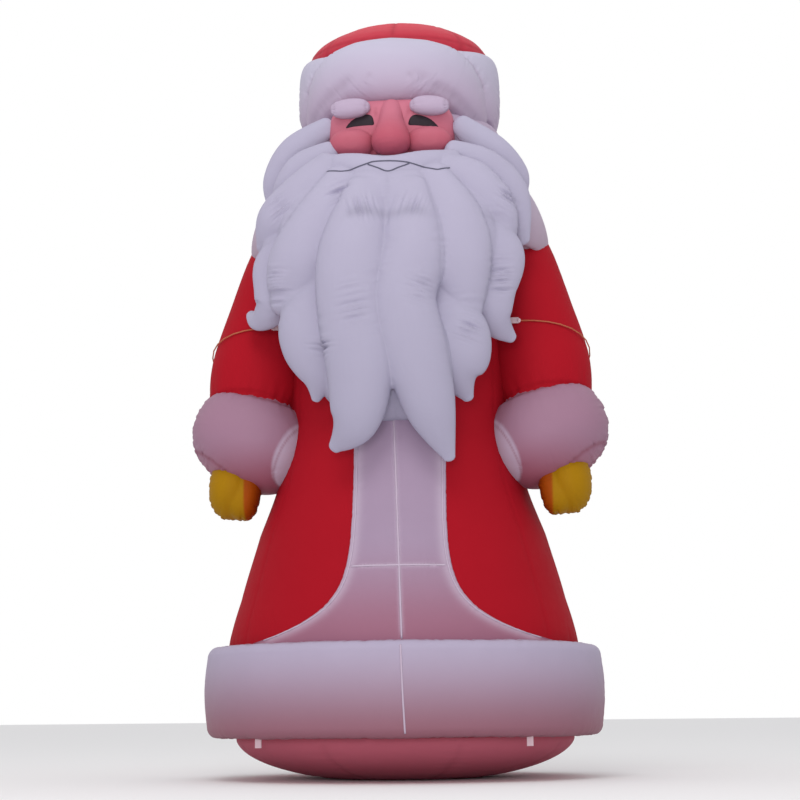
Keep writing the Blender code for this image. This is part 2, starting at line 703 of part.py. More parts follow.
clear_scene()
figure = new_collection("inflatable_figure")
cutters = new_collection("cutters", shown=False)
build_base()
robe = build_robe()
hem_band = build_hem_band()
head = build_head()
collar = build_collar(robe, head)
front_panel = build_front_panel(robe, hem_band)
arms = build_arms(robe, collar)
trim = build_hat()
face, nose = build_face(head, trim, collar)
arm_pieces = [piece for pieces in arms.values() for piece in pieces]
beard = build_beard([robe, head, collar, front_panel, face, nose, trim, *arm_pieces])
build_ropes(robe, arms)
build_hem_tabs(hem_band)
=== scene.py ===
"""The looks of a giant inflatable advertising figure: a bearded winter grandfather in a red robe.

Every chamber of coated cloth is a fine skin over the same proportions as the frame's solids,
drawn in along its seams and puckered beside them. Heights and widths are shares of the figure's
height, in percent, and what is cut to a size of its own is in metres.
"""

import math

import bmesh
import bpy
import numpy as np
from mathutils import Matrix, Vector, noise
from mathutils.bvhtree import BVHTree
from mathutils.kdtree import KDTree


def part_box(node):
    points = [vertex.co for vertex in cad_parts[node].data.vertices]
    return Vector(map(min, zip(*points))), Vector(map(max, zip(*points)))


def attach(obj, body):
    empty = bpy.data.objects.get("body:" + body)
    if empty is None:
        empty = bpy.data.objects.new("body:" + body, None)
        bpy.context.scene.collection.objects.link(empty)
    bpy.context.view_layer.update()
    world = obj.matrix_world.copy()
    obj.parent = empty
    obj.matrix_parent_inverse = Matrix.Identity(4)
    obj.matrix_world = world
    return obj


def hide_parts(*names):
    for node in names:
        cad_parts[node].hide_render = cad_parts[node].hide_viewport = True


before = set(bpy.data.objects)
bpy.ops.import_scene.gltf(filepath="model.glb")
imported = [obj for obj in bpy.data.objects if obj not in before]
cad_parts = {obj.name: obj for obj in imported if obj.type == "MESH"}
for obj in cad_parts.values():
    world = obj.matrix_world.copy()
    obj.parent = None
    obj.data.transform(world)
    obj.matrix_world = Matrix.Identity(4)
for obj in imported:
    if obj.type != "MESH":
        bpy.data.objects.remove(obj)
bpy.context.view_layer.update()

bl_info = {
    "name": "Inflatable Figure",
    "version": (1, 0, 0),
    "blender": (4, 5, 0),
    "location": "View3D > Sidebar > Inflatable",
    "description": "Sews and blows up a giant inflatable figure of a bearded winter grandfather",
    "category": "Mesh",
}

BODY = "root"
FIGURE_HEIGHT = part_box("hat_crown")[1][2]
SHARE = FIGURE_HEIGHT / 100

# The body's upright sections: height, half width, half depth, squareness, all but the last in percent
ROBE_FOOT = 5.2
HEM_TOP = 16.2
ROBE_SECTIONS = (
    (ROBE_FOOT, 22.0, 20.4, 2.1),
    (HEM_TOP, 22.0, 20.4, 2.1),
    (22.0, 20.5, 19.4, 2.1),
    (30.0, 18.2, 17.9, 2.1),
    (36.0, 16.0, 16.6, 2.1),
    (44.0, 14.8, 15.4, 2.1),
    (56.0, 14.6, 14.4, 2.2),
    (66.0, 15.0, 13.4, 2.3),
    (71.5, 13.6, 12.0, 2.3),
    (74.0, 10.6, 9.6, 2.2),
)
HEAD_SECTIONS = (
    (74.1, 9.6, 8.6, 2.2),
    (75.5, 11.6, 10.0, 2.3),
    (78.5, 13.4, 11.3, 2.4),
    (83.4, 13.4, 11.4, 2.3),
    (84.6, 12.4, 10.5, 2.15),
    (86.4, 12.2, 10.4, 2.15),
)
CROWN_SECTIONS = (
    (86.6, 12.2, 10.4, 2.15),
    (93.8, 12.2, 10.4, 2.15),
    (95.0, 11.8, 9.8, 2.1),
    (96.4, 10.5, 8.2, 2.1),
    (98.2, 7.6, 5.6, 2.0),
    (99.4, 4.0, 2.9, 2.0),
    (99.9, 1.2, 0.9, 2.0),
)
HEAD_BACK = 0.8

# The arms, for the figure's own left side: centreline points with a radius, in percent
SLEEVE_LINE = (
    (12.6, -0.4, 69.2, 5.5),
    (14.2, -1.0, 64.8, 6.2),
    (15.9, -2.0, 58.0, 6.6),
    (18.0, -3.2, 51.0, 6.5),
    (18.8, -4.2, 46.0, 5.7),
)
CUFF = ((18.7, -5.0, 42.2), (7.8, 7.4, 6.2), 2.2, (-12.0, -24.0))
MITTEN = ((21.1, -5.6, 36.5), (3.0, 3.7, 4.5), 2.0, (-4.0, -10.0))
THUMB = ((19.5, -6.1, 35.8), (2.0, 2.7, 3.9), 2.7, (-4.0, -8.0))

# Locks of the beard, in percent: a centreline of (sideways, height, radius), and how far it stands forward
LOCKS = (
    (((-2.6, 71.0, 2.4), (-4.1, 63.0, 4.1), (-4.3, 55.5, 4.0), (-3.2, 48.0, 3.8), (-3.9, 41.8, 2.8),
      (-6.4, 38.9, 0.8)), 0.4),
    (((2.6, 71.0, 2.4), (3.2, 63.0, 3.8), (2.0, 56.5, 3.8), (3.4, 50.0, 3.8), (5.2, 42.8, 2.8),
      (7.2, 37.4, 0.7)), 0.3),
    (((-6.0, 73.0, 1.8), (-8.8, 67.6, 3.0), (-11.2, 62.0, 3.7), (-12.5, 57.4, 2.4)), 0.0),
    (((5.8, 73.0, 1.8), (8.2, 67.0, 3.3), (8.8, 61.5, 3.7), (9.2, 55.6, 2.2)), 0.0),
    (((-7.6, 75.4, 1.6), (-11.2, 71.8, 2.5), (-14.2, 68.4, 2.8), (-16.0, 65.6, 1.3)), -0.4),
    (((-8.2, 81.6, 1.3), (-12.4, 78.8, 2.2), (-14.7, 75.4, 2.1), (-15.3, 72.4, 1.2)), -3.6),
    (((-7.6, 77.4, 1.4), (-11.0, 75.8, 2.0), (-13.0, 73.4, 2.0), (-14.2, 71.4, 1.2)), -1.8),
    (((-13.4, 66.2, 1.8), (-14.9, 63.0, 2.3), (-14.8, 59.8, 2.3), (-14.8, 57.6, 2.2), (-16.8, 56.5, 1.5),
      (-18.2, 57.4, 0.6)), -0.5),
    (((-8.4, 59.6, 1.8), (-10.0, 55.6, 3.2), (-9.7, 51.6, 3.2), (-8.6, 47.6, 1.9), (-8.9, 45.2, 0.6)), -0.4),
    (((6.6, 57.6, 1.8), (8.5, 53.6, 3.1), (8.9, 50.0, 3.2), (8.5, 47.2, 2.1), (9.4, 44.9, 0.7)), -0.4),
    (((12.4, 67.0, 1.9), (13.5, 63.0, 2.9), (12.5, 58.4, 2.7), (12.8, 54.8, 2.0), (14.7, 52.8, 0.7)), -0.6),
    (((8.8, 81.2, 1.3), (12.6, 77.8, 2.2), (15.2, 75.0, 2.0), (16.1, 73.0, 1.1)), -3.4),
    (((7.8, 76.8, 1.4), (12.0, 75.0, 2.1), (14.8, 71.4, 2.4), (16.0, 66.0, 1.2)), -1.4),
    (((7.4, 74.6, 1.5), (10.8, 72.4, 2.3), (13.2, 69.0, 2.4), (14.3, 65.8, 1.4)), 0.0),
    (((-8.2, 75.6, 1.0), (-4.2, 74.8, 1.3), (0.0, 74.3, 1.2), (4.2, 74.8, 1.3), (8.2, 75.6, 1.0)), 0.0),
)
BEARD_CUSHIONS = (
    ((-0.4, -14.6, 63.0), (13.8, 3.9, 11.6), 2.6),
    ((0, -15.2, 70.2), (6.4, 3.6, 5.0), 2.4),
    ((0, -16.2, 51.0), (9.4, 3.6, 8.6), 2.4),
    ((0, -11.6, 73.6), (12.8, 4.4, 3.6), 2.4),
)
BEARD_FORWARD = 16.6
BEARD_LEAN = 0.075
BEARD_CURVE = 0.021
LOCK_FLATNESS = 0.6

# Lines that show on the front, as (x, z) points in metres
ROLL_CREASES = (
    ((-0.39, 7.015), (-0.47, 6.975), (-0.55, 6.925), (-0.67, 6.865), (-0.785, 6.785), (-0.85, 6.71), (-0.89, 6.65)),
    ((0.38, 6.92), (0.485, 6.895), (0.59, 6.86), (0.70, 6.795), (0.80, 6.715), (0.91, 6.625), (0.98, 6.56)),
)
ROLL_TOP = ((0.0, 7.49), (0.33, 7.475), (0.57, 7.43), (0.75, 7.33), (0.88, 7.19), (0.96, 7.00))
ROLL_BOTTOM = ((0.0, 6.74), (0.40, 6.74), (0.60, 6.68), (0.75, 6.56), (0.88, 6.50), (0.95, 6.52))
CHEEK_OUT = 4.9
EYES = (
    ((-0.451, 6.458), (-0.406, 6.518), (-0.345, 6.558), (-0.274, 6.584), (-0.223, 6.586), (-0.187, 6.567),
     (-0.168, 6.524), (-0.167, 6.474), (-0.224, 6.470), (-0.305, 6.468), (-0.386, 6.463)),
    ((0.487, 6.430), (0.435, 6.493), (0.375, 6.533), (0.304, 6.559), (0.261, 6.565), (0.218, 6.550),
     (0.193, 6.509), (0.189, 6.458), (0.253, 6.451), (0.333, 6.443), (0.414, 6.436)),
)
MOUTH = (
    (-0.606, 5.905), (-0.526, 5.893), (-0.439, 5.887), (-0.318, 5.918), (-0.197, 5.954), (-0.140, 5.969),
    (-0.070, 5.972), (0.028, 5.970), (0.127, 5.962), (0.213, 5.947), (0.343, 5.906), (0.479, 5.865),
    (0.539, 5.874), (0.612, 5.894),
)
NOSE_LINE = (
    (0.1, -12.1, 83.3, 1.50), (0.1, -12.7, 82.5, 1.52), (0.12, -13.3, 81.4, 1.62), (0.15, -13.8, 80.4, 1.85),
    (0.2, -14.3, 79.4, 2.20), (0.2, -14.6, 78.6, 2.42), (0.2, -14.7, 78.1, 2.48),
)
LIP = ((-0.194, 5.944), (-0.097, 5.901), (0.008, 5.856), (0.110, 5.896), (0.215, 5.937))
CHIN_CREASE = (
    (-0.42, 5.34), (-0.354, 5.378), (-0.237, 5.404), (-0.110, 5.399), (0.017, 5.384), (0.153, 5.389),
    (0.289, 5.394), (0.37, 5.378), (0.43, 5.34),
)
CHIN_SEAM = ((0.015, 5.83), (0.014, 5.64), (0.012, 5.41), (0.011, 5.22))
BEARD_WRINKLES = (
    ((-0.47, 5.66), (-0.4, 1.0), 0.10), ((-1.13, 4.74), (0.1, 1.0), 0.16), ((0.35, 4.61), (0.3, 1.0), 0.13),
    ((1.08, 4.81), (-0.1, 1.0), 0.16), ((-0.31, 4.44), (-0.2, 1.0), 0.15), ((0.79, 4.23), (0.4, 1.0), 0.10),
    ((-0.22, 5.46), (1.0, 0.3), 0.12), ((0.24, 5.46), (1.0, -0.3), 0.12), ((-0.62, 4.08), (0.1, 1.0), 0.10),
    ((1.20, 5.62), (0.5, 1.0), 0.10), ((-1.10, 5.60), (-0.6, 1.0), 0.10),
)

# The front panel, in percent
PANEL_HALF_WIDTH = 5.5
PANEL_FLARE = 12.5
PANEL_FLARE_HEIGHT = 3.0
PANEL_CENTRE = 1.0
PANEL_TOP = 50.0

# In metres: the panel's rolled border, how far a tape stands off a skin, and where rays at a skin start
PANEL_BORDER = 0.035
TAPE_LIFT = 0.003
IN_FRONT = -4.0


class INFLATABLE_PG_sizes(bpy.types.PropertyGroup):
    """Sizes that the sewing follows."""

    panel_thickness: bpy.props.FloatProperty(
        name="Panel Thickness", description="How far the front panel stands off the robe",
        default=0.07, min=0.01, unit="LENGTH")
    voxel: bpy.props.FloatProperty(
        name="Blow-up Detail", description="Grain of the skins that are blown up as one chamber",
        default=0.016, min=0.005, unit="LENGTH")
    pleat: bpy.props.FloatProperty(
        name="Pleat Height", description="How high the cloth puckers beside its seams",
        default=0.012, min=0.0, unit="LENGTH")
    tape_width: bpy.props.FloatProperty(
        name="Seam Width", description="Width of the taped seams", default=0.018, min=0.002, unit="LENGTH")


def colour_property(name, description, default):
    return bpy.props.FloatVectorProperty(
        name=name, description=description, default=default, subtype="COLOR", size=3, min=0.0, max=1.0)


class INFLATABLE_PG_colours(bpy.types.PropertyGroup):
    """Colours of the cloths, in linear light."""

    robe: colour_property("Robe Red", "Red of the robe and the sleeves", (0.39, 0.008, 0.018))
    hat: colour_property("Hat Red", "Lighter red of the hat's crown", (0.62, 0.04, 0.072))
    base: colour_property("Base Red", "Dull red of the bowl that stands on the ground", (0.45, 0.11, 0.155))
    pink: colour_property("Face Pink", "Pink of the face", (0.56, 0.175, 0.245))
    mustard: colour_property("Mustard", "Yellow of the mittens", (0.38, 0.195, 0.003))
    eye: colour_property("Eye Grey", "Dark grey of the eyes", (0.028, 0.020, 0.028))
    line: colour_property("Line Grey", "Grey of the mouth's line", (0.12, 0.12, 0.17))
    rope: colour_property("Rope Orange", "Orange of the tie ropes", (0.62, 0.16, 0.07))
    webbing: colour_property("Webbing White", "White of the webbing tabs", (0.85, 0.64, 0.70))


def metres(share):
    """A length given in percent of the figure's height."""
    return share * SHARE


def place(point):
    """A point given in percent of the figure's height."""
    return Vector(point) * SHARE


def smooth_between(points, at):
    """The value at a place along a smooth curve through points, each a tuple of numbers."""
    last = len(points) - 1
    index = max(0, min(int(at), last - 1))
    t = at - index
    before, start, end, after = (points[max(0, min(last, index + k))] for k in (-1, 0, 1, 2))
    return tuple(
        0.5 * (2 * b + (c - a) * t + (2 * a - 5 * b + 4 * c - d) * t * t + (3 * b - a - 3 * c + d) * t ** 3)
        for a, b, c, d in zip(before, start, end, after)
    )


def smooth_line(points, steps):
    """Points along a smooth curve through points, so many steps for each span."""
    return [smooth_between(points, step / steps) for step in range((len(points) - 1) * steps + 1)]


def superellipse(angle, half_width, half_depth, squareness):
    """A point of a superellipse: an ellipse at squareness 2, and squarer above it."""
    power = 2 / squareness
    across, along = math.cos(angle), math.sin(angle)
    return (
        half_width * math.copysign(abs(across) ** power, across),
        half_depth * math.copysign(abs(along) ** power, along),
    )


def section_at(sections, height):
    """The section at a height in percent, smoothed between its neighbours."""
    for index, (low, high) in enumerate(zip(sections, sections[1:])):
        if height <= high[0] or index == len(sections) - 2:
            share = (height - low[0]) / (high[0] - low[0])
            return smooth_between(sections, index + max(0.0, min(1.0, share)))
    return sections[-1]


def surface_point(sections, angle, height, outward=0.0, back=0.0):
    """A point on a body's skin, in metres."""
    _, half_width, half_depth, squareness = section_at(sections, height)
    x, y = superellipse(angle, metres(half_width) + outward, metres(half_depth) + outward, squareness)
    return Vector((x, y + metres(back), metres(height)))


def mesh_of(bm, name):
    bmesh.ops.recalc_face_normals(bm, faces=bm.faces)
    mesh = bpy.data.meshes.new(name)
    bm.to_mesh(mesh)
    bm.free()
    return mesh


def skin(name, loops, wrap=False):
    """A closed skin over loops of points, its ends closed by fans, or joined end to start."""
    bm = bmesh.new()
    rows = [[bm.verts.new(point) for point in loop] for loop in loops]
    join_rows(bm, rows + ([rows[0]] if wrap else []))
    if not wrap:
        for row in (rows[0], rows[-1]):
            middle = bm.verts.new(sum((vert.co for vert in row), Vector()) / len(row))
            for k in range(len(row)):
                bm.faces.new((row[k], row[(k + 1) % len(row)], middle))
    return mesh_of(bm, name)


def loft_loops(sections, rings, sides, back=0.0):
    """Loops of a body's skin, evenly spaced in height."""
    low, high = sections[0][0], sections[-1][0]
    return [
        [surface_point(sections, 2 * math.pi * side / sides, low + (high - low) * ring / rings, back=back)
         for side in range(sides)]
        for ring in range(rings + 1)
    ]


def pillow_loops(centre, half, squareness, tilt=(0, 0), rows=48, sides=72):
    """Loops of an inflated form, from pole to pole: a sphere drawn out, squared and tilted."""
    power = 2 / squareness
    turn = Matrix.Rotation(math.radians(tilt[1]), 3, "Y") @ Matrix.Rotation(math.radians(tilt[0]), 3, "X")
    middle, size = place(centre), place(half)
    loops = []
    for row in range(1, rows):
        rise = math.pi * row / rows
        loop = []
        for side in range(sides):
            angle = 2 * math.pi * side / sides
            point = (math.sin(rise) * math.cos(angle), math.sin(rise) * math.sin(angle), -math.cos(rise))
            squared = [math.copysign(abs(value) ** power, value) * k for value, k in zip(point, size)]
            loop.append(middle + turn @ Vector(squared))
        loops.append(loop)
    return loops


def tube_loops(line, rows, sides, flatten=1.0):
    """Loops round a smooth centreline of (x, y, z, radius) points in percent, with rounded ends."""
    last = len(line) - 1
    spots = [smooth_between(line, last * row / (rows - 1)) for row in range(rows)]
    points = [place(spot[:3]) for spot in spots]
    loops = []
    for row, spot in enumerate(spots):
        ahead, behind = points[min(row + 1, rows - 1)], points[max(row - 1, 0)]
        along = (ahead - behind).normalized()
        across = Vector((0, 1, 0)).cross(along).normalized()
        front = along.cross(across).normalized()
        radius = metres(max(spot[3], 0.15))
        loops.append([
            points[row] + (across * math.cos(angle) + front * math.sin(angle) * flatten) * radius
            for angle in (2 * math.pi * side / sides for side in range(sides))
        ])
    first_radius, last_radius = metres(spots[0][3]), metres(spots[-1][3])
    return rounded_ends(loops, points, first_radius, last_radius)


def rounded_ends(loops, points, first_radius, last_radius, steps=5):
    """Adds shrinking loops past both ends, so that a tube ends in a dome."""
    start_way = (points[0] - points[1]).normalized()
    end_way = (points[-1] - points[-2]).normalized()
    start, end = [], []
    for step in range(1, steps):
        turn = math.pi / 2 * step / steps
        for caps, loop, point, way, radius in (
            (start, loops[0], points[0], start_way, first_radius),
            (end, loops[-1], points[-1], end_way, last_radius),
        ):
            reach = way * radius * math.sin(turn) * 0.7
            caps.append([point + (spot - point) * math.cos(turn) + reach for spot in loop])
    return list(reversed(start)) + loops + end


def ring_loops(path, section, sides):
    """Loops of a ring: a section of (outward, height) points carried round a level path in metres."""
    loops = []
    for side in range(sides):
        angle = 2 * math.pi * side / sides
        x, y = path(angle)
        x2, y2 = path(angle + 0.01)
        x1, y1 = path(angle - 0.01)
        normal = Vector((y2 - y1, x1 - x2, 0)).normalized()
        loops.append([Vector((x, y, height)) + normal * outward for outward, height in section])
    return loops


def add_piece(name, mesh, material, node=None):
    """A piece that rides on the figure, and hides the solid that it stands for."""
    piece = bpy.data.objects.new(name, mesh)
    bpy.context.scene.collection.objects.link(piece)
    mesh.materials.clear()
    mesh.materials.append(material)
    mesh.shade_smooth()
    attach(piece, BODY)
    if node:
        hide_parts(node)
    return piece


def finish_modifiers(piece):
    """Makes what the modifiers give the piece's own mesh."""
    bpy.ops.object.select_all(action="DESELECT")
    bpy.context.view_layer.objects.active = piece
    piece.select_set(True)
    for modifier in list(piece.modifiers):
        bpy.ops.object.modifier_apply(modifier=modifier.name)
    piece.select_set(False)


def blown_up(name, meshes, voxel, rounds):
    """One closed skin round several overlapping ones, softened where they meet."""
    bm = bmesh.new()
    for mesh in meshes:
        bm.from_mesh(mesh)
        bpy.data.meshes.remove(mesh)
    shape = bpy.data.objects.new(name, mesh_of(bm, name))
    bpy.context.scene.collection.objects.link(shape)
    remesh = shape.modifiers.new("blown_up", "REMESH")
    remesh.mode = "VOXEL"
    remesh.voxel_size = voxel
    soften = shape.modifiers.new("softened", "SMOOTH")
    soften.factor = 0.5
    soften.iterations = rounds
    finish_modifiers(shape)
    mesh = shape.data
    bpy.data.objects.remove(shape)
    return mesh


def mirrored(mesh, name):
    """A copy of a mesh for the other side of the figure."""
    copy = mesh.copy()
    copy.name = name
    copy.transform(Matrix.Diagonal((-1, 1, 1, 1)))
    copy.flip_normals()
    return copy


def dense(points, closed=False, spacing=0.02):
    """Points at an even spacing along a line of points, with their distance along it."""
    line = [Vector(point) for point in points]
    if closed:
        line.append(line[0])
    found, run = [], 0.0
    for start, end in zip(line, line[1:]):
        length = (end - start).length
        count = max(1, int(length / spacing))
        for step in range(count):
            found.append((start.lerp(end, step / count), run + length * step / count))
        run += length
    found.append((line[-1], run))
    return found


def nearest_tree(points):
    """A tree that finds the nearest of some points."""
    tree = KDTree(len(points))
    for index, point in enumerate(points):
        tree.insert(point, index)
    tree.balance()
    return tree


def gather(mesh, seams, depth, reach, pleat, spread, seed, spacing=0.07):
    """Draws a skin in along its seams and puckers it beside them, fading into the cloth.

    An open seam starts and ends softly. The seam attribute that is stored is 1 on a seam and 0 away from it, and the
    cloth paints shade where it is high, or a painted sheen where the seam colour is lighter.
    """
    spots = []
    for seam in seams:
        closed, length = (seam[0][0] - seam[-1][0]).length < 0.05, seam[-1][1]
        for point, run in seam:
            spots.append((point, run, 1.0 if closed else min(1.0, 0.1 + run / 0.12, 0.1 + (length - run) / 0.12)))
    tree = nearest_tree([point for point, _, _ in spots])
    near = mesh.attributes.get("seam") or mesh.attributes.new("seam", "FLOAT", "POINT")
    normals = [vert.normal.copy() for vert in mesh.vertices]
    for vert, normal in zip(mesh.vertices, normals):
        _, index, distance = tree.find(vert.co)
        _, run, full = spots[index]
        if distance > 6 * spread:
            continue
        long_one = 0.6 + 0.8 * abs(noise.noise(Vector((run / spacing / 2.6, seed * 3.1, 0.0))))
        fade = math.exp(-distance / (spread * long_one))
        wave = noise.noise(Vector((run / spacing, seed * 7.7, distance * 2.2)))
        fine = noise.noise(Vector((run / spacing * 2.3, seed * 1.7, distance * 3.0)))
        wave = (1 - 2 * abs(wave)) + 0.35 * fine
        groove = full * math.exp(-((distance / reach) ** 2))
        vert.co += normal * (pleat * full * fade * (wave - 0.5) - depth * groove)
        near.data[vert.index].value = max(near.data[vert.index].value, groove)
    mesh.update()


def ripple(mesh, height, scale, seed):
    """The slow unevenness of cloth under air."""
    normals = [vert.normal.copy() for vert in mesh.vertices]
    for vert, normal in zip(mesh.vertices, normals):
        spot = Vector((vert.co.x, vert.co.y, vert.co.z * 0.5)) / scale
        vert.co += normal * height * noise.noise(spot + Vector((seed, seed, seed)))
    mesh.update()


def tree_of(mesh):
    """A tree of a mesh's faces, to lay seams and patches on."""
    bm = bmesh.new()
    bm.from_mesh(mesh)
    tree = BVHTree.FromBMesh(bm)
    bm.free()
    return tree


def traced(tree, line):
    """The places on a skin behind a smooth line of (x, z) points in metres, seen from the front."""
    return [laid(tree, x, z)[0] for x, z in smooth_line(line, 8)]


def snapped(tree, points):
    """The places on a skin nearest to some points."""
    return [tree.find_nearest(Vector(point))[0] for point in points]


def swell(mesh, spots, height, reach):
    """Raises a skin softly round some spots, or sinks it where the height is below 0."""
    tree = nearest_tree(spots)
    moves = []
    for vert in mesh.vertices:
        _, _, distance = tree.find(vert.co)
        if distance < 3 * reach:
            moves.append((vert, vert.normal * height * math.exp(-((distance / reach) ** 2))))
    for vert, move in moves:
        vert.co += move
    mesh.update()


def relax(mesh, spot, reach, rounds=40):
    """Smooths a skin round one spot."""
    bm = bmesh.new()
    bm.from_mesh(mesh)
    near = [vert for vert in bm.verts if (vert.co - spot).length < reach]
    for _ in range(rounds):
        bmesh.ops.smooth_vert(bm, verts=near, factor=0.5, use_axis_x=True, use_axis_y=True, use_axis_z=True)
    bm.to_mesh(mesh)
    bm.free()
    mesh.update()


def pleats(mesh, spot, way, length, extent, spacing, height, seed):
    """A group of short puckers round a spot, one after another along a way."""
    middle, along = Vector(spot), Vector(way).normalized()
    reach = 2.5 * max(length, extent)
    moves = []
    for vert in mesh.vertices:
        apart = vert.co - middle
        if apart.length > reach:
            continue
        run = apart.dot(along)
        across = (apart - along * run).length
        fade = math.exp(-((across / length) ** 2) - (run / extent) ** 2)
        wave = 1 - 2 * abs(noise.noise(Vector((run / spacing, seed * 5.3, across * 1.5))))
        moves.append((vert, vert.normal * height * fade * (wave - 0.6)))
    for vert, move in moves:
        vert.co += move
    mesh.update()


def laid(tree, x, z, lift=0.0):
    """Where a line from the front meets a skin, lifted off it, and the skin's normal there."""
    start, way = Vector((x, IN_FRONT, z)), Vector((0, 1, 0))
    spot, normal, _, _ = tree.ray_cast(start, way)
    if spot is None:
        spot, normal, _, _ = tree.find_nearest(start)
    if normal.dot(way) > 0:
        normal = -normal
    return spot + normal * lift, normal


def join_rows(bm, rows):
    """Faces between each two neighbouring rounds of vertices."""
    for row, following in zip(rows, rows[1:]):
        for k in range(len(row)):
            after = (k + 1) % len(row)
            bm.faces.new((row[k], row[after], following[after], following[k]))


def tape(name, tree, line, width, material, thickness=0.003):
    """A flat tape sewn on a skin along a line of (x, z) points, seen from the front."""
    spots = [laid(tree, x, z, TAPE_LIFT) for x, z in line]
    bm = bmesh.new()
    rows = []
    for index, (spot, normal) in enumerate(spots):
        ahead, behind = spots[min(index + 1, len(spots) - 1)][0], spots[max(index - 1, 0)][0]
        across = (ahead - behind).cross(normal).normalized() * width / 2
        rows.append([
            bm.verts.new(spot + across),
            bm.verts.new(spot + across * 0.5 + normal * thickness),
            bm.verts.new(spot - across * 0.5 + normal * thickness),
            bm.verts.new(spot - across),
            bm.verts.new(spot - normal * thickness * 2),
        ])
    join_rows(bm, rows)
    bm.faces.new(rows[0])
    bm.faces.new(rows[-1])
    return add_piece(name, mesh_of(bm, name), material)


def patch(name, tree, outline, middle, material, lift=0.004, rings=7):
    """A thin patch sewn on a skin: an outline of (x, z) in metres, laid on from the front."""
    bm = bmesh.new()
    front = []
    for ring in range(rings):
        share = 1 - ring / rings
        height = lift * min(1.0, 0.25 + ring * 0.6)
        smaller = [(middle[0] + (x - middle[0]) * share, middle[1] + (z - middle[1]) * share) for x, z in outline]
        front.append([bm.verts.new(laid(tree, x, z, height)[0]) for x, z in smaller])
    centre = bm.verts.new(laid(tree, *middle, lift)[0])
    back = [bm.verts.new(vert.co + Vector((0, 3 * lift, 0))) for vert in front[0]]
    join_rows(bm, [back, *front])
    for k in range(len(outline)):
        bm.faces.new((front[-1][k], front[-1][(k + 1) % len(outline)], centre))
    bm.faces.new(back)
    return add_piece(name, mesh_of(bm, name), material)


# Materials

def math_node(nodes, links, operation, first, second=None):
    node = nodes.new("ShaderNodeMath")
    node.operation = operation
    for index, value in enumerate((first, second)):
        if value is None:
            continue
        if isinstance(value, (int, float)):
            node.inputs[index].default_value = value
        else:
            links.new(value, node.inputs[index])
    return node.outputs[0]


def mix_colour(nodes, links, factor, first, second, blend="MIX"):
    node = nodes.new("ShaderNodeMix")
    node.data_type = "RGBA"
    node.blend_type = blend
    for target, value in ((node.inputs[0], factor), (node.inputs[6], first), (node.inputs[7], second)):
        if isinstance(value, bpy.types.NodeSocket):
            links.new(value, target)
        else:
            target.default_value = value
    return node.outputs[2]


